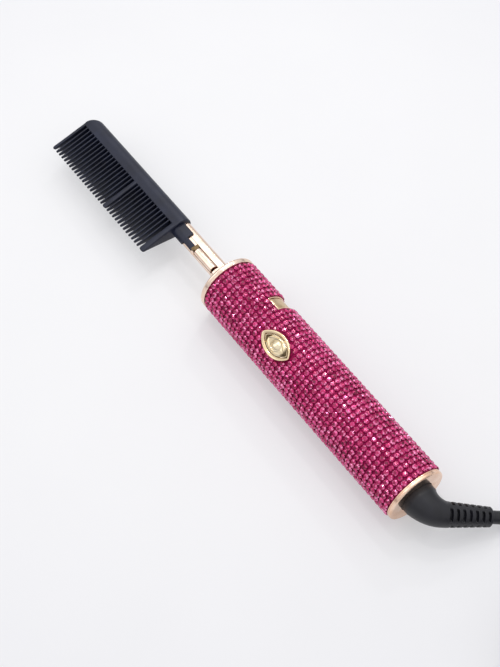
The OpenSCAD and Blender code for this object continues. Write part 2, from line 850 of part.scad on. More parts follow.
module cord_boot() {
    color(RUBBER_BLACK) placed() rotate([boot_roll, 0, 0]) {
        difference() {
            rod(boot_arc_x, flange_x - 0.25, boot_r);
            rod(rear_face_x - 2.05, flange_x + 1, collar_r + 0.02);
        }
        swept(
            [for (i = [0:boot_steps]) boot_point(boot_bend * i / boot_steps)],
            [for (i = [0:boot_steps]) boot_radius(i / boot_steps)], 32);
        translate(boot_point(boot_bend)) rotate([0, 0, boot_bend]) boot_tail();
    }
}

// Ribbed tail along -X
module boot_tail() {
    rotate([0, -90, 0]) rotate_extrude() polygon(concat(
        [[cord_r, ribs_l], [cord_r, 0.3], [0, 0.3], [0, -0.2], [rib_start_r - 0.2, -0.2]],
        [for (i = [0:boot_ribs - 1])
            let (z = i * rib_pitch, r = blend_at(rib_start_r, rib_end_r, i / (boot_ribs - 1)))
            each [[r - rib_core, z], [r - rib_core, z + rib_pitch - rib_w],
                [r, z + rib_pitch - rib_w], [r, z + rib_pitch]]]));
}

// ---- cord ----

module cord() {
    color(RUBBER_BLACK) {
        swept(cord_route, [for (p = cord_route) cord_r], 10);
        swept(lead_route, [for (p = lead_route) cord_r], 10);
    }
}

module cord_hank() {
    color(RUBBER_BLACK) translate(hank_centre + [0, 0, hank_low]) linear_extrude(hank_h) difference() {
        oval(hank_run + 2 * hank_outer, 2 * hank_outer);
        oval(hank_run + 2 * hank_inner, 2 * hank_inner);
    }
}

// Strap's outline round the hank and over the run that crosses to the plug, in (y, z)
function strap_points(grow) =
    let (side = hank_outer + tie_gap + grow, top = hank_low + hank_h + 0.15)
    [[-side, hank_low - 0.05 - grow], [side, hank_low - 0.05 - grow], [side, top + grow],
        [tie_hump[1], tie_hump[2] + grow], [tie_hump[0], tie_hump[2] + grow], [-side, top + grow / 2]];

module cord_tie() {
    color("black") translate(hank_centre + [tie_x, 0, 0]) rotate([90, 0, 90])
        linear_extrude(tie_w) difference() {
            polygon(strap_points(tie_t));
            polygon(strap_points(0));
        }
}

module at_plug() {
    translate(plug_seat) children();
}

module plug_body() {
    color(RUBBER_BLACK) at_plug() {
        difference() {
            union() {
                block([12, -plug_w / 2, -plug_h / 2], [plug_l, plug_w / 2, plug_h / 2]);
                translate([12, 0, -plug_h / 2]) cylinder(d = plug_w, h = plug_h);
                rod(-8, 6, 5);
            }
            rod(-9, 0, cord_r + 0.02);
            for (side = [-1, 1]) translate([0, side * blade_spacing / 2, 0])
                block([plug_l - 8, -blade_t / 2 - 0.02, -blade_w / 2 - 0.02],
                    [plug_l + 1, blade_t / 2 + 0.02, blade_w / 2 + 0.02]);
        }
    }
}

module plug_blades() {
    color("gold") at_plug() for (side = [-1, 1]) translate([0, side * blade_spacing / 2, 0])
        block([plug_l - 8, -blade_t / 2, -blade_w / 2], [plug_l + blade_l, blade_t / 2, blade_w / 2]);
}

comb_body();
heat_spreader();
ptc_heater();
temperature_probe();
comb_tang();
latch_tip();
neck_channel();
neck_cover();
neck_rivet();
neck_screws();
thermal_fuse();
heater_leads();
front_cap();
handle_tube();
stone_sheet();
rhinestones();
navette_rim();
power_button();
power_plunger();
power_switch();
window_frame();
mode_button();
mode_plunger();
mode_switch();
board_tray();
circuit_board();
board_parts();
board_screws();
rear_cap();
swivel_retainer();
contact_plate();
contact_rings();
mains_leads();
swivel_collar();
contact_pins();
cord_boot();
cord();
cord_hank();
cord_tie();
plug_body();
plug_blades();
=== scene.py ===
# %% [markdown]
# # A corded hot comb with a stone-covered handle
# A hot comb is a hollow metal comb with a heater in its back. It stands on a narrow gilt neck, and the
# neck comes out of a round handle covered with cut stones. The solid model is loaded first as a fixed
# frame; most surfaces that show are then built on it with their own materials, and the rest keep the
# solid model's shapes with finishes of their own.

import math

import bmesh
import bpy
import numpy as np
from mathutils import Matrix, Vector


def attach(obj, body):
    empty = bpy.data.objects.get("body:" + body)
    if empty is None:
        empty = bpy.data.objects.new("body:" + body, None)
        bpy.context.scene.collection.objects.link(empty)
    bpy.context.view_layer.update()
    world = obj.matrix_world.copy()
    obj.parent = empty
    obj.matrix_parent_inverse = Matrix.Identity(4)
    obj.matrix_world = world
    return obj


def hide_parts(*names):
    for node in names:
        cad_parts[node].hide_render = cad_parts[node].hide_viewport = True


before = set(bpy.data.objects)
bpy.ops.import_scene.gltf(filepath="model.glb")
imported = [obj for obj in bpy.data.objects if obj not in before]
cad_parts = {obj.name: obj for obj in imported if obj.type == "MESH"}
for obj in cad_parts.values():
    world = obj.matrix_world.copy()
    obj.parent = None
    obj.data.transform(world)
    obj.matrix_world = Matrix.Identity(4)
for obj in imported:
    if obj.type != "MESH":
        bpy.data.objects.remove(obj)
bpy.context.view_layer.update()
MM = 0.001

# %% [markdown]
# ## Camera
# The view is a tall one from above, with the handle running from the middle of the picture to the lower
# right. A camera needs a place, a point to look at and a lens. A moderately long lens keeps the handle
# nearly parallel-sided, with the slight taper of a real close view.

# %% Camera
camera_data = bpy.data.cameras.new("camera")
camera_data.sensor_fit = "VERTICAL"
camera_data.sensor_height = 36.0
camera_data.lens = 70.6
camera = bpy.data.objects.new("camera", camera_data)
bpy.context.scene.collection.objects.link(camera)
bpy.context.scene.camera = camera


def aim(thing, place, target):
    """Puts a camera or lamp at a place and turns its -Z axis toward a target, with its Y axis upward."""
    direction = np.subtract(target, place)
    thing.location = place
    thing.rotation_mode = "QUATERNION"
    thing.rotation_quaternion = Vector(direction).to_track_quat("-Z", "Y")
    return float(np.linalg.norm(direction))


CAMERA_PLACE, CAMERA_TARGET = (-0.30405, 0.21370, 0.56897), (-0.01408, -0.00085, 0.0)
print("camera distance:", round(aim(camera, CAMERA_PLACE, CAMERA_TARGET), 3), "m")

# %% [markdown]
# ## Shared measures
# Every piece is placed by the same few measures as the solid model: the handle's axis lies along X, and a
# direction round it is a turn from the top toward the teeth. Writing them once keeps the pieces seated on
# each other.

# %% Shared measures
# Millimetres: radii of the stones, of the mesh under them and of the tube, then distances along the axis,
# from the rear face to the comb's far end, and then the middle of the handle in the part's own frame.
STONE_TOP, SHEET_TOP, TUBE = 16.56, 15.35, 15.0
REAR_FACE, REAR, FRONT, NECK_START, COMB_START, COMB_END = -74.8, -72.5, 72.5, 75.75, 117.55, 206.0
HANDLE_MIDDLE = np.array([-65.6, -3.535, STONE_TOP])
print("handle:", FRONT - REAR, "mm, whole tool:", round(COMB_END - REAR_FACE, 1), "mm")


def to_metres(points):
    """Working points in mm about the handle's axis, moved into the part's frame and turned to metres."""
    return (np.asarray(points, float) + HANDLE_MIDDLE) * MM


def round_handle(x, turn, radius):
    """A point at a distance x along the handle, at a turn from the top toward the teeth, at a radius."""
    x, turn, radius = np.broadcast_arrays(x, turn, radius)
    return np.stack([x, radius * np.sin(turn), radius * np.cos(turn)], axis=-1)


# %% [markdown]
# ## From arrays to meshes
# A surface that is a function of two parameters is a grid of points. Its faces join each point to its
# neighbours, and the grid closes on itself in either direction where the surface does. Building the
# index arrays with numpy keeps this quick, and one small function turns arrays into an object.

# %% Arrays to meshes


def grid_quads(rows, columns, close_rows=False, close_columns=False, first=0):
    """Four corners of each cell of a grid, wrapped round where a direction is closed."""
    r = np.arange(rows if close_rows else rows - 1)[:, None]
    c = np.arange(columns if close_columns else columns - 1)[None, :]
    r2, c2 = (r + 1) % rows, (c + 1) % columns
    corners = [r * columns + c, r * columns + c2, r2 * columns + c2, r2 * columns + c]
    return np.stack([k.ravel() for k in np.broadcast_arrays(*corners)], axis=1) + first


def capped_tube_faces(rows, columns, tubes=1):
    """Faces of one or more tubes whose rings lie in one array: the cells along them, then a face that
    closes each start, then one that closes each end."""
    starts = np.arange(tubes) * rows * columns
    cells = grid_quads(rows, columns, close_columns=True)[None] + starts[:, None, None]
    ring = np.arange(columns)
    first_caps = [(ring[::-1] + start).tolist() for start in starts]
    last_caps = [(ring + start + (rows - 1) * columns).tolist() for start in starts]
    return cells.reshape(-1, 4).tolist() + first_caps + last_caps


def make_piece(name, points, faces, body, material, smooth=True, stands_for=()):
    """Makes a mesh object from points in metres and lists of corner indices, and sets it on its body."""
    mesh = bpy.data.meshes.new(name)
    mesh.from_pydata(np.asarray(points).reshape(-1, 3).tolist(), [], [list(map(int, f)) for f in faces])
    mesh.validate()
    mesh.update()
    piece = bpy.data.objects.new(name, mesh)
    bpy.context.scene.collection.objects.link(piece)
    mesh.polygons.foreach_set("use_smooth", [smooth] * len(mesh.polygons))
    mesh.materials.append(material)
    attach(piece, body)
    if stands_for:
        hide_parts(*stands_for)
    print(f"{name}: {len(mesh.polygons)} faces")
    return piece


def outward(piece):
    """Merges doubled points and turns every face outward."""
    work = bmesh.new()
    work.from_mesh(piece.data)
    bmesh.ops.remove_doubles(work, verts=work.verts, dist=1e-6)
    bmesh.ops.recalc_face_normals(work, faces=work.faces)
    work.to_mesh(piece.data)
    work.free()
    return piece


def swept_piece(name, rings, body, material, stands_for, closed=False):
    """A piece from rings of working points along a path. A closed path goes round a hole, and any other
    has a face over each end."""
    faces = grid_quads(*rings.shape[:2], True, True) if closed else capped_tube_faces(*rings.shape[:2])
    return outward(make_piece(name, to_metres(rings), faces, body, material, True, stands_for))


def round_edges(piece, width, segments=2, angle=35):
    """Adds a live bevel to every edge sharper than an angle, so that edges catch the light."""
    bevel = piece.modifiers.new("rounded edges", "BEVEL")
    bevel.width = width * MM
    bevel.segments = segments
    bevel.limit_method = "ANGLE"
    bevel.angle_limit = math.radians(angle)
    bevel.harden_normals = True
    return piece


# %% [markdown]
# ## Materials: how they are built
# Colours are written as sRGB hex values, the way a paint or web chart gives them, and are turned to linear
# light once. A material is a small tree of nodes, so one function adds a node with its settings and links.
# Patterns are scaled by real sizes in millimetres on Object coordinates, so they stay put on the piece.
# Most finishes here differ only in their numbers: a tone that drifts, a gloss that wanders and a fine
# relief, each driven by a noise of its own size, so one function builds them all.

# %% Material helpers


def linear(hex_value):
    """An sRGB hex colour as linear red, green, blue and full alpha."""
    srgb = np.array([int(hex_value[i : i + 2], 16) for i in (1, 3, 5)]) / 255
    low, high = srgb / 12.92, ((srgb + 0.055) / 1.055) ** 2.4
    return (*np.where(srgb <= 0.04045, low, high).tolist(), 1.0)


def add(tree, kind, settings=None, links=None, stops=()):
    """Adds a node, sets its properties and inputs, links inputs to other outputs, and fills a colour ramp
    with (position, hex colour) stops. An input goes by its name, or by its number where names repeat."""
    node = tree.nodes.new(kind)
    for name, value in (settings or {}).items():
        if isinstance(name, int) or name in node.inputs:
            node.inputs[name].default_value = value
        else:
            setattr(node, name, value)
    for name, output in (links or {}).items():
        tree.links.new(output, node.inputs[name])
    for end, (position, hex_value) in enumerate(stops[:1] + stops[-1:]):
        node.color_ramp.elements[end].position = position
        node.color_ramp.elements[end].color = linear(hex_value)
    for position, hex_value in stops[1:-1]:
        node.color_ramp.elements.new(position).color = linear(hex_value)
    return node


def new_material(name, **sockets):
    """A material with one Principled shader, whose sockets are set directly."""
    material = bpy.data.materials.new(name)
    material.use_nodes = True
    shader = material.node_tree.nodes["Principled BSDF"]
    for socket, value in sockets.items():
        shader.inputs[socket.replace("_", " ")].default_value = value
    print("material:", name)
    return material, material.node_tree, shader


def wandering_finish(name, stops, grains, roughness, relief, **sockets):
    """A finish from three noises, which drive its tone through the stops, its roughness from a low to a
    high value, and its relief, a depth in mm and a strength. A grain is a cell size in mm and a detail."""
    material, tree, shader = new_material(name, **sockets)
    place = add(tree, "ShaderNodeTexCoord").outputs["Object"]
    noises = {}
    for size_mm, detail in dict.fromkeys(grains):
        settings = {"Scale": 1000.0 / size_mm, "Detail": detail}
        noises[size_mm, detail] = add(tree, "ShaderNodeTexNoise", settings, {"Vector": place})
    drift, polish, height = (noises[grain].outputs["Fac"] for grain in grains)
    (low, high), (depth_mm, strength) = roughness, relief
    tone = add(tree, "ShaderNodeValToRGB", None, {"Fac": drift}, stops)
    gloss = add(tree, "ShaderNodeMapRange", {"To Min": low, "To Max": high}, {"Value": polish})
    bump = add(tree, "ShaderNodeBump", {"Strength": strength, "Distance": depth_mm * MM}, {"Height": height})
    tree.links.new(tone.outputs["Color"], shader.inputs["Base Color"])
    tree.links.new(gloss.outputs["Result"], shader.inputs["Roughness"])
    tree.links.new(bump.outputs["Normal"], shader.inputs["Normal"])
    return material


def rays_that_see(tree):
    """1 for rays that show a surface to the camera, directly, in a mirror or through glass, otherwise 0."""
    ray = add(tree, "ShaderNodeLightPath")
    mirrored = add(tree, "ShaderNodeMath", {"operation": "MAXIMUM"},
                   {0: ray.outputs["Is Camera Ray"], 1: ray.outputs["Is Glossy Ray"]})
    return add(tree, "ShaderNodeMath", {"operation": "MAXIMUM"},
               {0: mirrored.outputs["Value"], 1: ray.outputs["Is Transmission Ray"]}).outputs["Value"]


# %% [markdown]
# ## Plated metal
# The caps, neck and button rims are zinc castings, polished and plated in thin gold alloys: champagne on
# the neck, rose at the rear, yellow on the navette. Plating mirrors its surroundings in its own colour.
# The polish is never perfect, so the roughness wanders a little and a fine noise breaks the reflections.

# %% Plated metal


def plated(name, light, deep, low=0.12, high=0.24):
    """Polished gold-alloy plating: fully metallic, its tone drifting over some 6 mm, polish over 1.5 mm."""
    stops, grains = [(0.3, deep), (0.7, light)], [(6.0, 3.0), (1.5, 3.0), (1.5, 3.0)]
    return wandering_finish(name, stops, grains, (low, high), (0.006, 0.25), Metallic=1.0)


champagne_plating = plated("champagne_gold_plated_zinc", "#f6e0d0", "#e7cbb5")
rose_plating = plated("rose_gold_plated_zinc", "#f6d8c2", "#e6bb9c")
yellow_plating = plated("yellow_gold_plated_zinc", "#ead6b4", "#d0b78f", 0.09, 0.15)
# This plating gets painted shade in its recesses, below.
recessed_plating = plated("yellow_gold_with_painted_recess_shade", "#f0e2c4", "#d9c49e", 0.09, 0.15)
# The rectangular key is satin: rougher, so that it shades softly inside its bright frame.
satin_gold = plated("satin_gold_plated_zinc", "#e6d0ae", "#c9ac84", 0.24, 0.34)
# The catch is coloured dark bronze as painted shade: a small deep point that stands for the shaded
# hollow where the black tongue ends on the bright neck.
catch_bronze_and_shade = plated("dark_bronze_catch_painted_shade", "#6f5c42", "#352a1c", 0.22, 0.4)

# The navette's recesses are darkened toward a deep brown as painted shade, where the piece's own attribute,
# recess, is high.
tree = recessed_plating.node_tree
base_colour = tree.nodes["Principled BSDF"].inputs["Base Color"]
recess = add(tree, "ShaderNodeAttribute", {"attribute_name": "recess"})
painted_recess_shade = add(tree, "ShaderNodeMix", {"data_type": "RGBA", 7: linear("#38260f")},
                   {0: recess.outputs["Fac"], 6: base_colour.links[0].from_socket})
tree.links.new(painted_recess_shade.outputs[2], base_colour)

# %% [markdown]
# ## Ceramic-coated comb metal
# The comb is cast aluminium with a sprayed ceramic coat, blue-black and satin. The coat has a very fine
# grit that spreads the highlight, and it is a touch lighter where it thins on raised spots.

# %% Ceramic coat
comb_coat = wandering_finish("ceramic_coated_aluminium", [(0.3, "#141727"), (0.7, "#1f2437")],
                             [(9.0, 2.0), (0.35, 4.0), (0.35, 4.0)], (0.34, 0.5), (0.02, 0.5), IOR=1.4)

# %% [markdown]
# ## Moulded rubber
# The boot and the cord's jacket are soft black PVC rubber. Moulded rubber is satin, with a faint orange
# peel, and it picks up dust that greys it slightly in patches.

# %% Moulded rubber
cord_rubber = wandering_finish("moulded_black_rubber", [(0.35, "#121218"), (0.75, "#1c1c24")],
                               [(7.0, 4.0), (7.0, 4.0), (0.6, 3.0)], (0.34, 0.46), (0.02, 0.4), IOR=1.45)

# %% [markdown]
# ## Floor
# The object lies on a plain white sweep. A matt white surface shows the soft shadow on the lower left. Part
# of what the camera and the mirrors see is painted light: a flat pale glow that falls off from the middle,
# so that the shadow stays faint without more light on the object.

# %% Floor
FLOOR_REACH, MOTTLE_MM, GLOW_MIDDLE, GLOW_SHARE = 12.0, 60.0, (0.035, -0.035, 0.0), 0.42
floor_paint, tree, shader = new_material("matt_white_sweep", Roughness=0.9, IOR=1.3)
place = add(tree, "ShaderNodeTexCoord")
mottle = add(tree, "ShaderNodeTexNoise", {"Scale": 1000.0 / MOTTLE_MM, "Detail": 3.0},
             {"Vector": place.outputs["Object"]})
tone = add(tree, "ShaderNodeValToRGB", None, {"Fac": mottle.outputs["Fac"]},
           [(0.3, "#ececee"), (0.7, "#eeeef0")])
tree.links.new(tone.outputs["Color"], shader.inputs["Base Color"])
# Painted light: the glow is brightest near the object's middle and darker with distance, a light pool on the
# sweep.
from_middle = add(tree, "ShaderNodeVectorMath", {"operation": "DISTANCE", 1: GLOW_MIDDLE},
                  {0: place.outputs["Object"]})
painted_light_falloff = add(tree, "ShaderNodeValToRGB", None, {"Fac": from_middle.outputs["Value"]},
              [(0.0, "#f8f8fa"), (0.16, "#f4f4f6"), (0.32, "#e2e2e8"), (0.8, "#dedee5")])
painted_glow = add(tree, "ShaderNodeEmission", None, {"Color": painted_light_falloff.outputs["Color"]})
share = add(tree, "ShaderNodeMath", {"operation": "MULTIPLY", 1: GLOW_SHARE}, {0: rays_that_see(tree)})
mixed = add(tree, "ShaderNodeMixShader", None,
            {"Fac": share.outputs["Value"], 1: shader.outputs["BSDF"], 2: painted_glow.outputs["Emission"]})
tree.links.new(mixed.outputs["Shader"], tree.nodes["Material Output"].inputs["Surface"])

floor_mesh = bpy.data.meshes.new("floor")
floor_corners = [(x * FLOOR_REACH, y * FLOOR_REACH, 0) for x, y in ((-1, -1), (1, -1), (1, 1), (-1, 1))]
floor_mesh.from_pydata(floor_corners, [], [(0, 1, 2, 3)])
floor_mesh.materials.append(floor_paint)
floor = bpy.data.objects.new("floor", floor_mesh)
bpy.context.scene.collection.objects.link(floor)
print("floor:", 2 * FLOOR_REACH, "m square")

# %% [markdown]
# ## Mains cord
# The cord is 6.4 mm round flex, 1.8 m of it. It leaves the ribbed boot, sinks to the floor and runs out of
# view. The rest is put away as a hank: long loops, two side by side and three high, held by a strap, with
# the plug lying on top. Each loop is two straight runs and two round bends at a radius from the hank's
# middle line, so turning the loops into one line only needs a radius and a height that change smoothly
# where a loop steps beside or onto the last one.

# %% Cord
CORD_D, CORD_LAY = 6.4, 4.2
BOOT_EXIT = [-165.73, -27.08, 7.85]
cord_route = [[-170.3, -34, 5.6], [-174.8, -39, 4.6], [-183, -43.7, 4.2], [-193, -45.3, 4.2],
              [-205, -45.3, 4.2], [-218, -45.3, 4.2], [-232, -45.3, 4.2]]
HANK_MIDDLE, HANK_RUN, HANK_INNER, HANK_OUTER = np.array([-281.0, -19.5, 0.0]), 86.0, 19.4, 25.8
PLUG_END = [-315.0, 3.0, 26.5]


def smooth_step(value, start, end):
    """0 before start, 1 after end, and an S-curve between them."""
    t = np.clip((value - start) / (end - start), 0, 1)
    return t * t * (3 - 2 * t)


def hank_centreline(step=4.0, mean=22.5, passing=43.0, loops=5.5, plug_climb=0.48, before=21.0, after=4.0):
    """Loops of a run, the far bend, a run back and the near bend, by distance q along them. The radius
    steps in, out, in and half out again, the height climbs three diameters and then to the plug, with a
    level stretch before and after that last climb. Every step lies where the loops beside and below it
    are already past."""
    bend = math.pi * mean
    loop = 2 * (HANK_RUN + bend)
    far, back, near = HANK_RUN, HANK_RUN + bend, 2 * HANK_RUN + bend
    q = np.linspace(0, loops * loop, int(loops * loop / step) + 1)
    inward = (smooth_step(q, near - passing, near) - smooth_step(q, 2 * loop + far, 2 * loop + back)
              + smooth_step(q, 4 * loop, 4 * loop + passing)
              - 0.5 * smooth_step(q, 5 * loop, 5 * loop + far))
    radius = HANK_OUTER - (HANK_OUTER - HANK_INNER) * inward
    climbs = (smooth_step(q, loop + back, loop + back + passing)
              + smooth_step(q, 3 * loop + far - passing, 3 * loop + far)
              + smooth_step(q, 4 * loop + near, 5 * loop)
              + plug_climb * smooth_step(q, 5 * loop + far + before, loops * loop - after))
    w = q % loop
    w[-1] = back if w[-1] < 1 or w[-1] > loop - 1 else w[-1]
    far_turn, near_turn = -math.pi / 2 - (w - far) / mean, math.pi / 2 - (w - near) / mean
    parts = [w < far, w < back, w < near]
    half = HANK_RUN / 2
    x = np.select(parts, [half - w, -half + radius * np.cos(far_turn), w - back - half],
                  half + radius * np.cos(near_turn))
    y = np.select(parts, [-radius, radius * np.sin(far_turn), radius], radius * np.sin(near_turn))
    return HANK_MIDDLE + np.stack([x, y, CORD_LAY + CORD_D * climbs], axis=1)


def through(points, steps=4):
    """A Catmull-Rom curve: each span is a cubic of its two ends and their two neighbours."""
    p = np.asarray(points, float)
    p = np.vstack([2 * p[0] - p[1], p, 2 * p[-1] - p[-2]])
    a, b, c, d = (p[i : len(p) - 3 + i][:, None, :] for i in range(4))
    t = np.linspace(0, 1, steps, endpoint=False)[None, :, None]
    spans = 0.5 * (2 * b + (c - a) * t + (2 * a - 5 * b + 4 * c - d) * t**2 + (3 * b - a - 3 * c + d) * t**3)
    return np.vstack([spans.reshape(-1, 3), p[-2]])


hank = hank_centreline()
first_run = through([BOOT_EXIT] + cord_route + [hank[0].tolist()], 4)[:-1]
centreline = np.vstack([first_run, hank, [PLUG_END]]) * MM

cord_curve = bpy.data.curves.new("mains_cord", "CURVE")
cord_curve.dimensions = "3D"
cord_curve.bevel_depth = CORD_D / 2 * MM
cord_curve.bevel_resolution = 5
cord_curve.use_fill_caps = True
spline = cord_curve.splines.new("POLY")
spline.points.add(len(centreline) - 1)
spline.points.foreach_set("co", np.hstack([centreline, np.ones((len(centreline), 1))]).ravel())
spline.use_smooth = True
mains_cord = bpy.data.objects.new("mains_cord", cord_curve)
bpy.context.scene.collection.objects.link(mains_cord)
cord_curve.materials.append(cord_rubber)
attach(mains_cord, "swivel")
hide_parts("cord", "cord_hank")

# %% [markdown]
# ## Boot
# The boot is one rubber moulding: a round base that turns in the rear cap, a smooth bend, and a tapered
# tail. Slots are let into the tail from four sides, each row half a step past the next, so that it flexes
# evenly. The whole is a circle carried along the bent centreline, with a radius that depends on the
# distance travelled and on the angle round it: a taper, less the depth of the slots.

# %% Boot
BOOT_STRAIGHT, BEND_R, BOOT_BEND, BOOT_ROLL = 3.4, 12.8, math.radians(59.9), math.radians(20.3)
BOOT_R, DROP_TO_SLOTS, DROP_TO_END, END_ROUND = 8.85, 2.6, 1.45, 0.45
SLOTS, SLOT_PITCH, SLOT_LEAD, SLOT_DEPTH, SLOT_PHASE = 7, 3.35, 1.3, 1.9, 0.12
SLOT_TURN, SLOT_REACHES = 50, (28, 34)


def boot_radius(s, turn):
    """8.85 mm at the cap, 2.6 mm less where the slots begin and another 1.45 mm less at the end, where a
    quarter circle of 0.45 mm rolls the edge over. A slot's depth is the product of a window in distance,
    half of each 3.35 mm, and one in angle, 28 degrees each way on two sides and 34 on the other two."""
    tail = BOOT_STRAIGHT + BEND_R * BOOT_BEND - SLOT_LEAD
    share = np.clip((s - BOOT_STRAIGHT) / (tail - BOOT_STRAIGHT), 0, 1)
    over = s - tail
    taper = BOOT_R - DROP_TO_SLOTS * share**0.85 - DROP_TO_END * np.clip(over / (SLOTS * SLOT_PITCH), 0, 1)
    end = SLOTS * SLOT_PITCH - over
    rolled = np.clip(1 - end / END_ROUND, 0, 1)
    taper = taper - END_ROUND + END_ROUND * np.sqrt(np.clip(1 - rolled**2, 0, 1))
    depth = 0.0
    for side in range(4):
        phase = (over / SLOT_PITCH - SLOT_PHASE - 0.5 * (side % 2)) % 1.0
        along = smooth_step(phase, 0.0, 0.1) * (1 - smooth_step(phase, 0.42, 0.52))
        off = np.abs((turn - math.radians(90 * side + SLOT_TURN) + np.pi) % (2 * np.pi) - np.pi)
        reach = math.radians(SLOT_REACHES[side % 2])
        depth = depth + along * (1 - smooth_step(off, reach, reach + 0.1))
    inside = (over > SLOT_PHASE * SLOT_PITCH) & (end > END_ROUND)
    return taper - SLOT_DEPTH * np.clip(depth, 0, 1) * inside


def boot_surface(around=112, into_cap=1.6):
    """Rings along a line, an arc and a line, each square to the centreline, then rolled about the
    handle's axis so that the tail points the way it lies."""
    bend_l, tail_l = BEND_R * BOOT_BEND, SLOTS * SLOT_PITCH - SLOT_LEAD
    s = np.concatenate([np.linspace(-into_cap, BOOT_STRAIGHT, 12),
                        BOOT_STRAIGHT + np.linspace(0, bend_l - SLOT_LEAD, 26)[1:],
                        BOOT_STRAIGHT + bend_l + np.linspace(-SLOT_LEAD, tail_l, 236)[1:]])[:, None]
    turn = np.linspace(0, 2 * np.pi, around, endpoint=False)[None, :]
    bend = np.clip((s - BOOT_STRAIGHT) / BEND_R, 0, BOOT_BEND)
    over = np.clip(s - BOOT_STRAIGHT - bend_l, 0, None)
    x = REAR_FACE - np.minimum(s, BOOT_STRAIGHT) - BEND_R * np.sin(bend) - over * np.cos(BOOT_BEND)
    y = -BEND_R * (1 - np.cos(bend)) - over * np.sin(BOOT_BEND)
    ring = boot_radius(s, turn)
    px = x - ring * np.cos(turn) * np.sin(bend)
    py = y + ring * np.cos(turn) * np.cos(bend)
    pz = ring * np.sin(turn)
    cos_roll, sin_roll = math.cos(BOOT_ROLL), math.sin(BOOT_ROLL)
    return np.stack([px, py * cos_roll - pz * sin_roll, py * sin_roll + pz * cos_roll], axis=-1)


boot = swept_piece("boot", boot_surface(), "swivel", cord_rubber, ["cord_boot"])

# %% [markdown]
# ## Cut stones
# The handle wears 46 columns and 32 rows of round flat-backed resin stones, each 3 mm across. A cut
# stone is a table, star facets, kite-shaped crown facets and a girdle. One stone is a small list of
# rings, and numpy copies it to every seat with its own slight tilt and spin. Facets mirror different
# parts of the stone's foil, so each face gets a painted reflection: a tone of its own in an attribute,
# set by its kind and at random, which the material turns into light and dark pinks.

# %% Stones
rng = np.random.default_rng(7)
STONE_D, STONE_H, TABLE_D, PITCH, COLUMNS, ROWS = 3.02, 1.21, 1.45, 3.14, 46, 32
NAVETTE_X, NAVETTE_TURN, NAVETTE_L, NAVETTE_W = 23.0, math.radians(30.4), 20.2, 11.5
WINDOW_X, WINDOW_TURN, WINDOW_L, WINDOW_HALF = 43.0, math.radians(30.4 - 90), 8.8, math.radians(41)
WINDOW_W = 2 * TUBE * math.sin(WINDOW_HALF)
STONE_TILT, TRIM_GAP = math.radians(3.5), 0.04
BASE_R, GIRDLE_H, CROWN_R, CROWN_H = 1.36, 0.38, 1.16, 0.82
# Middle and spread of the painted reflection tones of the girdle, the lower crown, the kites, the stars and
# the table.
TONE_MIDDLE, TONE_SPREAD = (0.08, 0.44, 0.74, 0.54, 0.16), (0.05, 0.2, 0.26, 0.26, 0.12)


def stone_seats(margin=0.35):
    """Columns by rows of a square grid, less the seats whose middle the navette or the window takes. The
    navette is where two circles overlap, and the window a rectangle seen along its own turn."""
    column, row = np.meshgrid(np.arange(COLUMNS), np.arange(ROWS), indexing="ij")
    x = ((column - (COLUMNS - 1) / 2) * PITCH).ravel()
    turn = (row * 2 * np.pi / ROWS).ravel()
    r = (NAVETTE_L**2 + NAVETTE_W**2) / (4 * NAVETTE_W)
    across, along = SHEET_TOP * np.sin(turn - NAVETTE_TURN), x - NAVETTE_X
    in_both = np.hypot(along, np.abs(across) + r - NAVETTE_W / 2) < r + margin
    on_navette = (np.cos(turn - NAVETTE_TURN) > 0) & in_both
    reach_x, reach_across = WINDOW_L / 2 + margin, WINDOW_W / 2 + margin * math.cos(WINDOW_HALF)
    on_window = ((np.cos(turn - WINDOW_TURN) > 0) & (np.abs(x - WINDOW_X) < reach_x)
                 & (np.abs(SHEET_TOP * np.sin(turn - WINDOW_TURN)) < reach_across))
    keep = ~(on_navette | on_window)
    return x[keep], turn[keep]


def one_stone():
    """Rings of a round cut: base and girdle of 16 points each, crown corners and table of 8 points each.
    Faces of one kind, from the girdle's side to the table, share a number."""
    sixteen, eight = np.arange(16) * np.pi / 8, np.arange(8) * np.pi / 4
    rings = [(sixteen, BASE_R, 0.0), (sixteen, STONE_D / 2, GIRDLE_H), (eight + np.pi / 8, CROWN_R, CROWN_H),
             (eight, TABLE_D / 2, STONE_H)]
    points = np.concatenate([np.stack([r * np.cos(a), r * np.sin(a), np.full_like(a, height)], 1)
                             for a, r, height in rings])
    i, crown, table = np.arange(16), 32 + np.arange(8), 40 + np.arange(8)
    girdle = np.stack([i, (i + 1) % 16, 16 + (i + 1) % 16, 16 + i], 1).tolist()
    lower = [[16 + 2 * k, 16 + (2 * k + 1) % 16, crown[k]] for k in range(8)]
    lower += [[16 + (2 * k + 1) % 16, 16 + (2 * k + 2) % 16, crown[k]] for k in range(8)]
    kites = [[16 + 2 * k, crown[k], table[k], crown[k - 1]] for k in range(8)]
    stars = [[table[k], crown[k], table[(k + 1) % 8]] for k in range(8)]
    kinds = [0] * 16 + [1] * 16 + [2] * 8 + [3] * 8 + [4]
    return points, girdle + lower + kites + stars + [table.tolist()], np.array(kinds)


def trim_at_window(x, arc_length):
    """Corners that reach over the window's frame are moved to its nearest edge, as a cut stone's are."""
    half_l, half_s = WINDOW_L / 2 + TRIM_GAP, WINDOW_HALF * SHEET_TOP + TRIM_GAP
    u, v = x - WINDOW_X, arc_length
    deep_u, deep_v = half_l - np.abs(u), half_s - np.abs(v)
    inside = (deep_u > 0) & (deep_v > 0)
    by_u = inside & (deep_u < deep_v)
    by_v = inside & ~by_u
    return np.where(by_u, WINDOW_X + half_l * np.sign(u), x), np.where(by_v, half_s * np.sign(v), v)


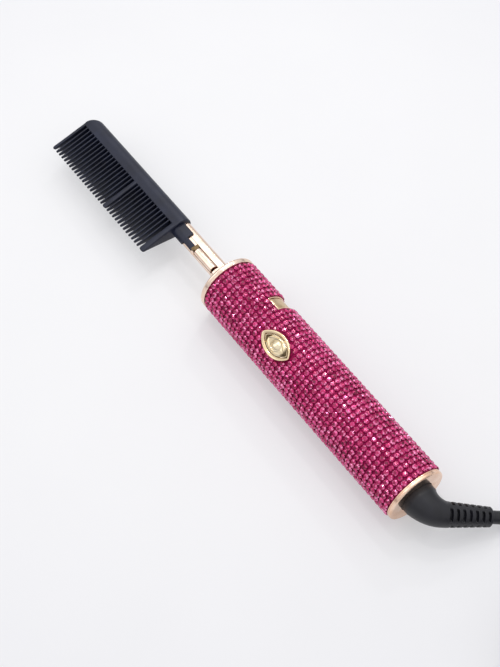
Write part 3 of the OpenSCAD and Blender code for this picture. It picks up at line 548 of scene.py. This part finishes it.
def set_stones():
    """Every stone is turned to its seat: spin about its own axis, small tilt, then along the handle's
    x, the direction round it and the direction outward. Each face keeps a tone, its painted reflection."""
    x, turn = stone_seats()
    n = len(x)
    points, faces, kinds = one_stone()
    spin = rng.uniform(0, np.pi / 4, n)[:, None]
    px = points[:, 0] * np.cos(spin) - points[:, 1] * np.sin(spin)
    py = points[:, 0] * np.sin(spin) + points[:, 1] * np.cos(spin)
    tilt = rng.normal(0, STONE_TILT, (n, 2, 1))
    pz = np.clip(points[None, :, 2] + px * tilt[:, 0] + py * tilt[:, 1], 0, STONE_H)
    from_window = (turn - WINDOW_TURN + np.pi) % (2 * np.pi) - np.pi
    trimmed_x, trimmed_s = trim_at_window(x[:, None] + px, from_window[:, None] * SHEET_TOP + py)
    px, py = trimmed_x - x[:, None], trimmed_s - from_window[:, None] * SHEET_TOP
    outwards = SHEET_TOP + pz
    sin, cos = np.sin(turn)[:, None], np.cos(turn)[:, None]
    placed = np.stack([x[:, None] + px, outwards * sin + py * cos, outwards * cos - py * sin], axis=-1)
    offsets = (np.arange(n) * len(points)).tolist()
    all_faces = [[k + o for k in f] for o in offsets for f in faces]
    middle, spread = np.array(TONE_MIDDLE)[kinds], np.array(TONE_SPREAD)[kinds]
    tones = middle + rng.normal(0, 1, (n, len(kinds))) * spread + rng.normal(0, 0.1, (n, 1))
    return placed, all_faces, np.clip(tones, 0, 1).ravel()


# Half metallic, for the foil that mirrors light back through the resin, and smooth with a thin clear coat,
# so that single facets flash white while their neighbours stay a deep pink.
foiled_resin, tree, shader = new_material("foiled_ruby_resin", Metallic=0.5, Roughness=0.17, IOR=1.56,
                                          Coat_Weight=0.2, Coat_Roughness=0.03)
# Each face's tone picks a painted reflection from this ramp, from deep wine to pale pink.
facet = add(tree, "ShaderNodeAttribute", {"attribute_name": "tone"})
tone = add(tree, "ShaderNodeValToRGB", None, {"Fac": facet.outputs["Fac"]},
           [(0.0, "#66042f"), (0.3, "#9e0b4c"), (0.55, "#c71e6c"), (0.8, "#dc4a8c"), (1.0, "#f595c2")])
tree.links.new(tone.outputs["Color"], shader.inputs["Base Color"])

stone_points, stone_faces, stone_painted_reflections = set_stones()
stones = make_piece("cut_stones", to_metres(stone_points), stone_faces, "tool", foiled_resin, smooth=False,
                    stands_for=["rhinestones"])
# The tone attribute holds each face's painted reflection.
stones.data.attributes.new("tone", "FLOAT", "FACE").data.foreach_set("value", stone_painted_reflections)
print("stones:", len(stone_points))

# %% [markdown]
# ## Mesh sheet under the stones
# The stones are fused to a stretched mesh of dark red yarn. Little of it shows between them, so the solid
# model's own sheet stays, with wavy bands for its yarns, each 0.8 mm wide.

# %% Mesh sheet
# Blender's bands have about 6.3 half waves to a unit, and half a wave is one yarn.
YARN_MM, HALF_WAVES_PER_UNIT = 0.8, 6.283
red_mesh, tree, shader = new_material("dark_red_mesh_fabric", Roughness=0.8, IOR=1.2)
place = add(tree, "ShaderNodeTexCoord")
settings = {"Scale": 1000 / YARN_MM / HALF_WAVES_PER_UNIT, "Distortion": 1.0, "bands_direction": "X"}
wave = add(tree, "ShaderNodeTexWave", settings, {"Vector": place.outputs["Object"]})
tone = add(tree, "ShaderNodeValToRGB", None, {"Fac": wave.outputs["Fac"]},
           [(0.2, "#760b3a"), (0.8, "#96104c")])
yarn = add(tree, "ShaderNodeBump", {"Strength": 0.6, "Distance": 0.08 * MM}, {"Height": wave.outputs["Fac"]})
tree.links.new(tone.outputs["Color"], shader.inputs["Base Color"])
tree.links.new(yarn.outputs["Normal"], shader.inputs["Normal"])

# %% [markdown]
# ## Turned caps
# Both end caps are turned rings. A turned shape is one profile of distance and radius, carried round the
# axis, so the profile alone is drawn: the thin bright bead beside the stones, the plain band, the rounded
# edge and the flat face.

# %% Turned caps


def arc(centre, radius, start, end, steps=8):
    """Points on a circle of a profile, from one angle to another in degrees."""
    a = np.radians(np.linspace(start, end, steps))
    return np.stack([centre[0] + radius * np.cos(a), centre[1] + radius * np.sin(a)], 1)


def turned_ring(profile, around=160):
    """A closed profile of (x, radius) carried round the handle's axis."""
    profile = np.asarray(profile, float)
    turn = np.linspace(0, 2 * np.pi, around, endpoint=False)
    return round_handle(profile[:, :1], turn[None, :], profile[:, 1:])


def turned_piece(name, profile, body, material, stands_for):
    """Makes a turned ring and keeps its creases sharp."""
    piece = swept_piece(name, turned_ring(profile), body, material, stands_for, closed=True)
    piece.data.set_sharp_from_angle(angle=math.radians(40))
    return piece


front_r, rear_r, NECK_HOLE_R, BOOT_HOLE_R = STONE_TOP - 0.11, STONE_TOP - 0.66, 3.0, 9.05
front_profile = np.vstack([
    [[FRONT - 0.02, NECK_HOLE_R], [FRONT - 0.02, front_r - 0.35]],
    arc((FRONT + 0.33, front_r - 0.33), 0.33, 180, 45, 6),
    arc((FRONT + 0.85, front_r - 0.24), 0.16, 225, 315, 4),
    arc((NECK_START - 1.3, front_r - 1.3), 1.3, 90, 0, 10),
    [[NECK_START, NECK_HOLE_R]]])
turned_piece("front_cap_plated", front_profile, "tool", champagne_plating, ["front_cap"])

rear_profile = np.vstack([
    [[REAR + 0.02, BOOT_HOLE_R], [REAR + 0.02, rear_r - 0.1]],
    arc((REAR - 0.2, rear_r - 0.2), 0.2, 0, 100, 5),
    [[REAR - 0.62, rear_r - 0.02], [REAR - 0.7, rear_r - 0.14], [REAR - 0.8, rear_r - 0.02]],
    arc((REAR_FACE + 0.85, rear_r - 0.85), 0.85, 90, 180, 8),
    [[REAR_FACE, rear_r - 1.5]],
    arc((REAR_FACE + 0.18, BOOT_HOLE_R + 0.2), 0.18, 180, 270, 4)])
turned_piece("rear_cap_plated", rear_profile, "tool", rose_plating, ["rear_cap"])

# %% [markdown]
# ## Neck
# The neck is a slender hollow casting, a rounded rectangle in section, with an open slot on its upper side
# toward the comb. A raised half-round strip, a flush one and a small bronze catch fill the slot. The neck
# and the two strips are each drawn from outlines carried straight along X, with a small bevel that gives
# each edge its bright line; the catch keeps the solid model's shape.

# %% Neck


def oval_outline(centre, width, height, steps=16):
    """Flat oval with round ends, anticlockwise in (y, z)."""
    r, half = height / 2, (width - height) / 2
    right = arc((centre[0] + half, centre[1]), r, -90, 90, steps)
    left = arc((centre[0] - half, centre[1]), r, 90, 270, steps)
    return np.vstack([right, left])


def drawn(name, outline, x0, x1, material, stands_for, bevel=0.15):
    """An outline in (y, z) carried along X from x0 to x1, closed at both ends."""
    outline = np.asarray(outline, float)
    rings = np.stack([np.column_stack([np.full(len(outline), x), outline]) for x in (x0, x1)])
    piece = swept_piece(name, rings, "tool", material, stands_for)
    piece.data.set_sharp_from_angle(angle=math.radians(35))
    return round_edges(piece, bevel)


NECK_Y, NECK_Z, NECK_W, NECK_H, NECK_WALL = -1.4, -1.0, 10.4, 6.2, 1.2
SLOT = (-1.1, 3.5)
OUTER_LIP, INNER_LIP = 0.32, 0.0
SLOT_START = COMB_START - 33.4


def slotted_outline():
    """Outer oval from one slot edge round to the other, then the inner oval back again. Each oval leaves
    out its stretch above a lip and beyond the slot's first edge."""
    runs = []
    for inward, lip in ((0.0, OUTER_LIP), (NECK_WALL, INNER_LIP)):
        oval = oval_outline((NECK_Y, NECK_Z), NECK_W - 2 * inward, NECK_H - 2 * inward, 40)
        opened = (oval[:, 1] > lip) & (oval[:, 0] > SLOT[0])
        runs.append(np.roll(oval, -(np.flatnonzero(opened)[-1] + 1), axis=0)[: (~opened).sum()])
    return np.vstack([[[SLOT[0], NECK_Z + NECK_H / 2]], runs[0], [[SLOT[1], 0.33], [SLOT[1] - 0.2, 0.0]],
                      runs[1][::-1], [[SLOT[0], 0.5]]])


drawn("neck_tube", oval_outline((NECK_Y, NECK_Z), NECK_W, NECK_H, 40), FRONT + 1.5, SLOT_START,
      champagne_plating, ["neck_channel"])
drawn("neck_slotted", slotted_outline(), SLOT_START, COMB_START + 2.0, champagne_plating, [])

cover_mid, cover_r = (SLOT[0] + SLOT[1]) / 2, (SLOT[1] - SLOT[0]) / 2 - 0.05
flush_outline = [[SLOT[0] + 0.05, 0.6], [SLOT[1] - 0.3, 0.6], [SLOT[1] - 0.3, 1.35], [SLOT[1] - 1.2, 1.85],
                 [SLOT[0] + 0.05, 1.95]]
drawn("neck_flush_strip", flush_outline, SLOT_START + 17.9, COMB_START - 1, champagne_plating, [],
      0.08)
drawn("neck_strip", arc((cover_mid, 1.0), cover_r, -14, 194, 30), SLOT_START + 0.8, SLOT_START + 15.3,
      champagne_plating, ["neck_cover"], 0.3)

# %% [markdown]
# ## Comb back and end walls
# The comb's section is a round back that runs into two flanks sloping to thin tips. The back is that
# section cut off at the roots of the teeth and carried along X. Toward the far end the rings close in, so
# that the corner is rounded as on the casting.

# %% Comb back
BACK_Y, BACK_Z, BACK_R, TIP_Y, ROOT_Y = -1.67, -0.5, 5.7, 23.63, 2.53
UPPER, LOWER = math.radians(14), math.radians(9.5)


def flank_heights(y):
    """Heights of the upper and lower flank at a distance y, each a line tangent to the round back."""
    y = np.asarray(y, float)
    top = BACK_Z + BACK_R / math.cos(UPPER) - (y - BACK_Y) * math.tan(UPPER)
    low = BACK_Z - BACK_R / math.cos(LOWER) + (y - BACK_Y) * math.tan(LOWER)
    return top, low


def back_section(steps=28):
    """Round back from the lower tangent point to the upper one, then down both flanks to the roots."""
    a = np.linspace(2 * np.pi - np.pi / 2 + LOWER, np.pi / 2 - UPPER, steps)
    back = np.stack([BACK_Y + BACK_R * np.cos(a), BACK_Z + BACK_R * np.sin(a)], 1)
    top, low = flank_heights(ROOT_Y)
    return np.vstack([back, [[ROOT_Y, float(top)], [ROOT_Y, float(low)]]])


def comb_back(corner=4.5, soft_edge=0.4, flatten=0.12):
    """Rings of the section along X. Near the far end the back edge draws in along a circle of 4.5 mm and
    the section flattens a little, and the first rings shrink for a soft edge."""
    section = back_section()
    length = COMB_END - COMB_START
    x = np.concatenate([[0.0, 0.15, soft_edge], np.linspace(1, length - corner, 40),
                        length - corner + corner * np.sin(np.linspace(0, np.pi / 2, 14))[1:]])
    into_corner = np.clip(x - (length - corner), 0, corner)
    draw_in = corner - np.sqrt(corner**2 - into_corner**2)
    from_edge = np.clip(x / soft_edge, 0, 1)
    inset = soft_edge - soft_edge * np.sqrt(np.clip(1 - (1 - from_edge) ** 2, 0, 1))
    shrink = 1 - inset[:, None] / BACK_R
    depth = ROOT_Y - (BACK_Y - BACK_R)
    y = ROOT_Y - (ROOT_Y - section[None, :, 0]) * (depth - draw_in[:, None]) / depth
    y = BACK_Y + (y - BACK_Y) * shrink
    flatter = 1 - flatten * (into_corner / corner)[:, None] ** 3
    z = BACK_Z + (section[None, :, 1] - BACK_Z) * shrink * flatter
    return np.stack([np.broadcast_to(COMB_START + x[:, None], y.shape), y, z], axis=-1)


spine = swept_piece("comb_back", comb_back(), "tool", comb_coat, ["comb_body"])
spine.data.set_sharp_from_angle(angle=math.radians(50))

# %% [markdown]
# ## Teeth
# A tooth is a rounded bar whose width in Z follows the two flanks and whose end is rounded. All teeth,
# the divider and the two end walls are the same function: rings of a rounded rectangle along Y, with a
# thickness in X. numpy stacks every tooth into one array.

# %% Teeth
TOOTH_T, TOOTH_PITCH, TOOTH_GAP, NEAR_TEETH, FAR_TEETH = 0.95, 2.6, 1.65, 12, 18
NEAR_WALL_T, DIVIDER_T, DIVIDER_STEP, FAR_WALL_T = 3.4, 2.8, 3.1, 1.8
near_teeth = COMB_START + NEAR_WALL_T + TOOTH_GAP + TOOTH_T / 2 + np.arange(NEAR_TEETH) * TOOTH_PITCH
divider = near_teeth[-1] + DIVIDER_STEP
far_teeth = divider + DIVIDER_STEP + np.arange(FAR_TEETH) * TOOTH_PITCH


def rounded_bars(middle_x, half_x, corner, around=20, squareness=0.35, slimmest=0.12):
    """Rings along Y. Each ring is a superellipse in x and z: the half-sizes are the tooth's half
    thickness and half the distance between the flanks, both closing in along a quarter circle at the tip."""
    middle_x, half_x, corner = (np.asarray(v, float)[:, None, None] for v in (middle_x, half_x, corner))
    to_tip = 0.9 + 0.1 * np.sin(np.linspace(0, np.pi / 2, 6))[1:]
    t = np.concatenate([np.linspace(0, 0.9, 9), to_tip])[None, :, None]
    y = (ROOT_Y - 0.4) + (TIP_Y - ROOT_Y + 0.4) * t
    top, low = flank_heights(y)
    near_tip = np.clip((y - (TIP_Y - corner)) / corner, 0, 1)
    close = np.sqrt(np.clip(1 - near_tip**2, 0.0, 1))
    half_z = np.maximum((top - low) / 2 - corner * 0.8 * (1 - close), slimmest)
    a = (np.arange(around) + 0.5)[None, None, :] * 2 * np.pi / around
    across = half_x * (0.35 + 0.65 * close) * np.sign(np.cos(a)) * np.abs(np.cos(a)) ** squareness
    upward = half_z * np.sign(np.sin(a)) * np.abs(np.sin(a)) ** squareness
    return np.stack(np.broadcast_arrays(middle_x + across, y, (top + low) / 2 + upward), axis=-1)


walls_x = [divider, COMB_START + NEAR_WALL_T / 2, COMB_END - FAR_WALL_T / 2]
teeth_half = np.full(NEAR_TEETH + FAR_TEETH, TOOTH_T / 2)
teeth_corner = np.full(NEAR_TEETH + FAR_TEETH, 0.55)
bars = rounded_bars(np.concatenate([near_teeth, far_teeth, walls_x]),
                    np.concatenate([teeth_half, [DIVIDER_T / 2, NEAR_WALL_T / 2, FAR_WALL_T / 2]]),
                    np.concatenate([teeth_corner, [0.9, 1.0, 1.0]]))
bar_count, bar_rows, bar_columns = bars.shape[:3]
bar_faces = capped_tube_faces(bar_rows, bar_columns, bar_count)
teeth = outward(make_piece("comb_teeth", to_metres(bars), bar_faces, "tool", comb_coat))
teeth.data.set_sharp_from_angle(angle=math.radians(60))

# %% [markdown]
# ## Tang and catch
# A black plate comes out of the comb and lies on the neck, wide at the comb and narrowing to a tongue that
# the bronze catch holds. Its section is a strip of the neck's own outline, one plate thickness outward.

# %% Tang


def strip_outline(start, end, thickness=0.9, steps=24):
    """A strip on the neck's flat top and round side: from a distance y on the top, round the side, down
    to an angle from the horizontal, and back again on the neck's own surface."""
    half = (NECK_W - NECK_H) / 2
    lines = []
    for offset in (thickness, 0.02):
        r = NECK_H / 2 + offset
        side = arc((NECK_Y + half, NECK_Z), r, 90, end, steps)
        lines.append(np.vstack([[[start, NECK_Z + r]], side]) if start < NECK_Y + half else side)
    return np.vstack([lines[0], lines[1][::-1]])


drawn("tang_plate", strip_outline(-3.2, 4), COMB_START - 8.7, COMB_START + 1.2, comb_coat, ["comb_tang"],
      0.2)
drawn("tang_tongue", strip_outline(0.7, 36), COMB_START - 15.3, COMB_START - 8.6, comb_coat, [],
      0.2)

# %% [markdown]
# ## Navette button
# The push button is a pointed oval set in a raised rim. Both are surfaces over a lens, which is where two
# circles overlap: the rim is a ridge carried round the lens's edge, and the button is a dish whose height
# depends on the share of the way from the middle to that edge, with a pocket toward each tip and a dome.

# %% Navette


def lens_points(direction, length, width, tip):
    """Edge of a lens of two arcs with round tips, by the direction that the edge faces. Points of a
    smaller lens are moved outward by the tip's radius: its arcs where the direction meets them, and its
    two tips for the rest."""
    half_l, half_w = length / 2 - tip, width / 2 - tip
    r = (half_l**2 + half_w**2) / (2 * half_w)
    c, s = np.cos(direction), np.sin(direction)
    on_arc = np.abs(c) <= half_l / r
    along = np.where(on_arc, r * c, half_l * np.sign(c))
    across = np.where(on_arc, r * s - (r - half_w) * np.sign(s), 0.0)
    return along + tip * c, across + tip * s


def over_navette(along, across, radius):
    """Points over the navette's middle: along the handle, round it by an arc length, and at a radius."""
    return round_handle(NAVETTE_X + along, NAVETTE_TURN + across / SHEET_TOP, radius)


def rim_over_lens(insets, heights, around=168):
    """A ridge carried round the lens's edge: each ring lies an inset inside the edge, at a radius."""
    direction = (np.arange(around) + 0.5) / around * 2 * np.pi
    rows = []
    for inset, height in zip(insets, heights):
        tip = max(RIM_TIP - inset, 0.2)
        along, across = lens_points(direction, NAVETTE_L - 2 * inset, NAVETTE_W - 2 * inset, tip)
        rows.append(over_navette(along, across, height))
    return np.stack(rows)


# The ridge's profile: its outer foot, the crest from outside in, the slope down toward the button, and
# the foot below that.
RIM_TOP, CREST_R, RIM_FOOT, RIM_TIP = STONE_TOP + 0.58, 0.35, TUBE + 0.1, 1.3
crest = np.radians(np.linspace(180, 60, 7))
rim_insets = np.concatenate([[0.0], CREST_R + CREST_R * np.cos(crest),
                             [0.75, 1.0, 1.25, 1.42, 1.5], [1.5, 0.1]])
rim_heights = np.concatenate([[RIM_FOOT], RIM_TOP - CREST_R + CREST_R * np.sin(crest),
                              RIM_TOP - np.array([0.13, 0.28, 0.5, 0.72, 0.95]), [TUBE + 0.3, RIM_FOOT]])
swept_piece("navette_rim_plated", rim_over_lens(rim_insets, rim_heights), "tool", yellow_plating,
            ["navette_rim"], closed=True)

BUTTON_L, BUTTON_W, BUTTON_TIP = 16.2, 7.9, 0.5
BUTTON_FLOOR, BUTTON_UNDER, HOLLOW = TUBE + 1.4, TUBE + 0.83, 0.44
RIDGE_AT, RIDGE_SPREAD, RIDGE_H, POCKET_FROM, POCKET_TO = 0.74, 0.09, 0.5, 4.8, 6.2
DOME_R, DOME_BALL, DOME_SUNK = 2.8, 3.9, 2.75


def button_surface(rings=64, around=168, under_every=4):
    """A leaf-shaped dish. The height over the floor is a soft ridge along the leaf's edge, less a hollow
    inside it and a pocket at each tip, plus a cap of a ball in the middle. The underside follows the
    tube's curve. How deep each point lies in a recess comes back too, from 0 to 1, as the share of
    painted shade that the material puts there."""
    direction = ((np.arange(around) + 0.5) / around * 2 * np.pi)[None, :]
    share = np.linspace(0.0, 1.0, rings)[1:, None]
    edge_along, edge_across = lens_points(direction, BUTTON_L, BUTTON_W, BUTTON_TIP)
    along, across = share * edge_along, share * edge_across
    distance = np.hypot(along, across)
    ridge = RIDGE_H * np.exp(-(((share - RIDGE_AT) / RIDGE_SPREAD) ** 2))
    hollow = HOLLOW * (1 - smooth_step(share, 0.25, 0.68))
    pocket = smooth_step(np.abs(along), POCKET_FROM, POCKET_TO)
    ball = np.sqrt(np.clip(DOME_BALL**2 - distance**2, 0, None)) - DOME_SUNK
    dome = np.where(distance < DOME_R, ball, -np.inf) - HOLLOW
    height = BUTTON_FLOOR + np.maximum(ridge - hollow - HOLLOW * pocket, dome)
    at_foot = np.exp(-(((distance - DOME_R - 0.1) / 0.35) ** 2))
    outside = smooth_step(share, 0.86, 0.97)
    recess = np.clip(0.9 * pocket * (share < 0.95) + 0.45 * at_foot + 0.5 * outside, 0, 1)
    under_along, under_across = along[::-under_every], across[::-under_every]
    under = over_navette(under_along, under_across, BUTTON_UNDER)
    surface = np.concatenate([over_navette(along, across, height), under])
    return surface, np.concatenate([recess, np.ones_like(under_along)])


button_points, button_recess = button_surface()
button = make_piece("navette_button_plated", to_metres(button_points),
                    capped_tube_faces(*button_points.shape[:2]), "power_key", recessed_plating,
                    stands_for=["power_button"])
# The recess attribute sets how much painted shade each point of the button gets.
button.data.attributes.new("recess", "FLOAT", "POINT").data.foreach_set("value", button_recess.ravel())
outward(button)

# %% [markdown]
# ## Window and its button
# The other button is a plain curved key in a gilt frame, let in below the stones. The frame is a small
# rounded bar carried round a rectangle that is wrapped on the handle, and the key is a curved patch whose
# edges roll over.

# %% Window


def frame_ring(half_l, half_turn, corner=0.5, steps=5, side=24):
    """A rounded rectangle in (along, arc length), with extra points on the long sides so that it wraps."""
    half_s = half_turn * TUBE
    signs = [(1, 1), (-1, 1), (-1, -1), (1, -1)]
    corners = [arc((i * (half_l - corner), j * (half_s - corner)), corner, 90 * k, 90 * k + 90, steps)
               for k, (i, j) in enumerate(signs)]
    sides = [np.linspace(one[-1], after[0], side)[1:-1]
             for one, after in zip(corners, corners[1:] + corners[:1])]
    return np.vstack([part for pair in zip(corners, sides) for part in pair])


def window_frame_points():
    """The bar's profile, applied to the rectangle's rings one at a time: an inset at the ends, an inset at
    the sides and a radius. The sides' inner walls lean outward below, so that they run straight along the
    key's travel."""
    profile = [(0.0, 0.0, TUBE - 0.3), (0.0, 0.0, TUBE + 0.1), (0.12, 0.12, TUBE + 0.28),
               (0.4, 0.4, TUBE + 0.34), (0.68, 0.68, TUBE + 0.28), (0.8, 0.8, TUBE + 0.1),
               (0.8, 0.27, TUBE - 0.55), (0.1, 0.1, TUBE - 0.55)]
    rows = []
    for inset, side_inset, radius in profile:
        corner = max(0.9 - inset, 0.15)
        x, arc_length = frame_ring(WINDOW_L / 2 - inset, WINDOW_HALF - side_inset / TUBE, corner).T
        rows.append(round_handle(WINDOW_X + x, WINDOW_TURN + arc_length / TUBE, radius))
    return np.stack(rows)


swept_piece("window_frame_plated", window_frame_points(), "tool", rose_plating, ["window_frame"],
            closed=True)
KEY_INSET, KEY_EDGE, KEY_TOP, KEY_UNDER = 0.95, 0.4, TUBE - 0.1, TUBE - 1.5


def key_points(along=18, across=60):
    """A curved patch with its edges rolled down along a quarter circle of 0.4 mm, and its underside."""
    half_l, half_s = WINDOW_L / 2 - KEY_INSET, WINDOW_HALF * TUBE - KEY_INSET
    u = np.sin(np.linspace(-np.pi / 2, np.pi / 2, along))[:, None] * half_l
    v = np.sin(np.linspace(-np.pi / 2, np.pi / 2, across))[None, :] * half_s
    edge = np.minimum(half_l - np.abs(u), half_s - np.abs(v))
    drop = KEY_EDGE - np.sqrt(np.clip(KEY_EDGE**2 - np.clip(KEY_EDGE - edge, 0, KEY_EDGE) ** 2, 0, None))
    x, turn = WINDOW_X + u, WINDOW_TURN + v / TUBE
    return np.stack([round_handle(x, turn, KEY_TOP - drop), round_handle(x, turn, KEY_UNDER)])


key_surfaces = key_points()
rows, columns = key_surfaces.shape[1:3]
grid = np.arange(rows * columns).reshape(rows, columns)
border = np.concatenate([grid[0], grid[1:, -1], grid[-1, -2::-1], grid[-2:0:-1, 0]])
after = np.roll(border, -1)
key_faces = grid_quads(rows, columns).tolist() + grid_quads(rows, columns, first=grid.size)[:, ::-1].tolist()
key_faces += np.stack([border, after, after + grid.size, border + grid.size], 1).tolist()
outward(make_piece("window_key", to_metres(key_surfaces), key_faces, "mode_key", satin_gold,
                   stands_for=["mode_button"]))

# %% [markdown]
# ## Finishes of the pieces that stay as the solid model gives them
# What sits inside the housing, the mesh, the strap and the plug keep their solid shapes, and each gets the
# finish of its own stuff: zinc-plated steel, brass, alumina ceramic, moulded nylon and ABS, glass-epoxy
# board or silicone. Each has a grain at its real size, which is what keeps a plain surface from looking
# computed.

# %% Inner finishes
# Each row: name, light tone, deep tone, grain in mm, roughness, metallic and the pieces that have it.
INNER_FINISHES = [
    # extruded and left bare: pale grey with a soft sheen
    ("extruded_aluminium", "#cfd0d2", "#b4b5b8", 0.4, (0.3, 0.45), 1.0, "heat_spreader"),
    # barrel-plated: bright, with the faint cloud of small parts that knock together
    ("zinc_plated_steel", "#c9cac8", "#a9aaa8", 0.5, (0.25, 0.4), 1.0,
     "neck_screws thermal_fuse board_screws"),
    # drawn and stamped: yellow and fairly bright
    ("drawn_brass", "#e0c070", "#c29a48", 0.5, (0.22, 0.38), 1.0,
     "temperature_probe contact_rings contact_pins plug_blades"),
    # pressed and fired: grey and dry, without a highlight
    ("alumina_ceramic", "#8d8a86", "#6f6c69", 0.3, (0.5, 0.65), 0.0, "ptc_heater"),
    # moulded with glass fibre, which comes to the surface and dulls it
    ("glass_filled_white_nylon", "#e4e2da", "#d2cfc4", 0.6, (0.45, 0.6), 0.0, "board_tray swivel_retainer"),
    # moulded in eroded tools: an even satin
    ("moulded_black_nylon", "#202022", "#161618", 0.6, (0.4, 0.55), 0.0,
     "power_plunger mode_plunger board_parts cord_tie"),
    ("moulded_grey_abs", "#57585c", "#46474b", 0.6, (0.4, 0.55), 0.0,
     "power_switch mode_switch swivel_collar"),
    # cured lacquer over copper: green with a wet shine
    ("green_solder_mask", "#145c2c", "#0e4621", 0.8, (0.25, 0.4), 0.0, "circuit_board"),
    # paper pressed in resin: brown, dull and a little mottled
    ("phenolic_board", "#a8743c", "#8a5c2c", 0.8, (0.45, 0.6), 0.0, "contact_plate"),
    # extruded silicone: red and soft-looking, with no sharp highlight
    ("silicone_lead_jacket", "#a3241c", "#861812", 0.5, (0.45, 0.6), 0.0, "heater_leads mains_leads"),
]
# The catch's dark bronze is painted shade of the hollow at the tongue's end.
finishes = {"latch_tip": catch_bronze_and_shade, "neck_rivet": champagne_plating, "handle_tube": champagne_plating,
            "stone_sheet": red_mesh, "plug_body": cord_rubber}
for name, light, deep, grain_mm, roughness, metallic, node_names in INNER_FINISHES:
    finish = wandering_finish(name, [(0.3, deep), (0.7, light)], [(grain_mm, 3.0)] * 3, roughness,
                              (0.01, 0.4), Metallic=metallic)
    finishes.update(dict.fromkeys(node_names.split(), finish))
for node_name, finish in finishes.items():
    node_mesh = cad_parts[node_name].data
    node_mesh.materials.clear()
    node_mesh.materials.append(finish)
print("finishes given to", len(finishes), "nodes")

# %% [markdown]
# ## Light
# Plain studio light: a wide softbox nearly overhead, a weaker one from the left, and a pale world that
# fills the shadows and is a little darker at the horizon, so that polished metal has an edge to mirror.
# Three small hard lamps are what makes single facets flash, each along its own third of the handle.

# %% Light


def softbox(name, place, target, size, power):
    """A white area lamp that faces a target, with its size in metres and its power in watts."""
    lamp = bpy.data.lights.new(name, "AREA")
    lamp.shape = "RECTANGLE"
    lamp.size, lamp.size_y = size
    lamp.energy = power
    lamp_object = bpy.data.objects.new(name, lamp)
    bpy.context.scene.collection.objects.link(lamp_object)
    print(f"{name}: {power} W at {aim(lamp_object, place, target):.2f} m")


middle = (-0.02, 0.0, 0.02)
softbox("key_softbox", (0.15, -0.36, 1.2), middle, (1.3, 1.3), 3.7)
softbox("fill_softbox", (0.5, 0.7, 0.75), middle, (0.7, 1.1), 1.7)
sparkles = {"upper": ((0.583, -0.888, 0.931), -0.025), "middle": ((0.470, -0.489, 1.232), -0.065),
            "lower": ((0.350, 0.007, 1.357), -0.105)}
for where, (place, target_x) in sparkles.items():
    softbox(f"{where}_sparkle_lamp", place, (target_x, 0.0, 0.033), (0.07, 0.07), 1.3)

world = bpy.data.worlds.new("studio")
bpy.context.scene.world = world
world.use_nodes = True
air = world.node_tree
background = air.nodes["Background"]
sky = add(air, "ShaderNodeTexCoord")
height = add(air, "ShaderNodeSeparateXYZ", None, {"Vector": sky.outputs["Generated"]})
tent = add(air, "ShaderNodeValToRGB", None, {"Fac": height.outputs["Z"]},
           [(0.0, "#c4c4c9"), (0.05, "#a2a2a8"), (0.22, "#e4e4e7"), (0.6, "#fbfbfc")])
air.links.new(tent.outputs["Color"], background.inputs["Color"])
LIT_STRENGTH, SEEN_STRENGTH = 0.78, 1.0
strength = add(air, "ShaderNodeMapRange", {"To Min": LIT_STRENGTH, "To Max": SEEN_STRENGTH},
               {"Value": rays_that_see(air)})
air.links.new(strength.outputs["Result"], background.inputs["Strength"])
bpy.context.scene.view_settings.view_transform = "Standard"
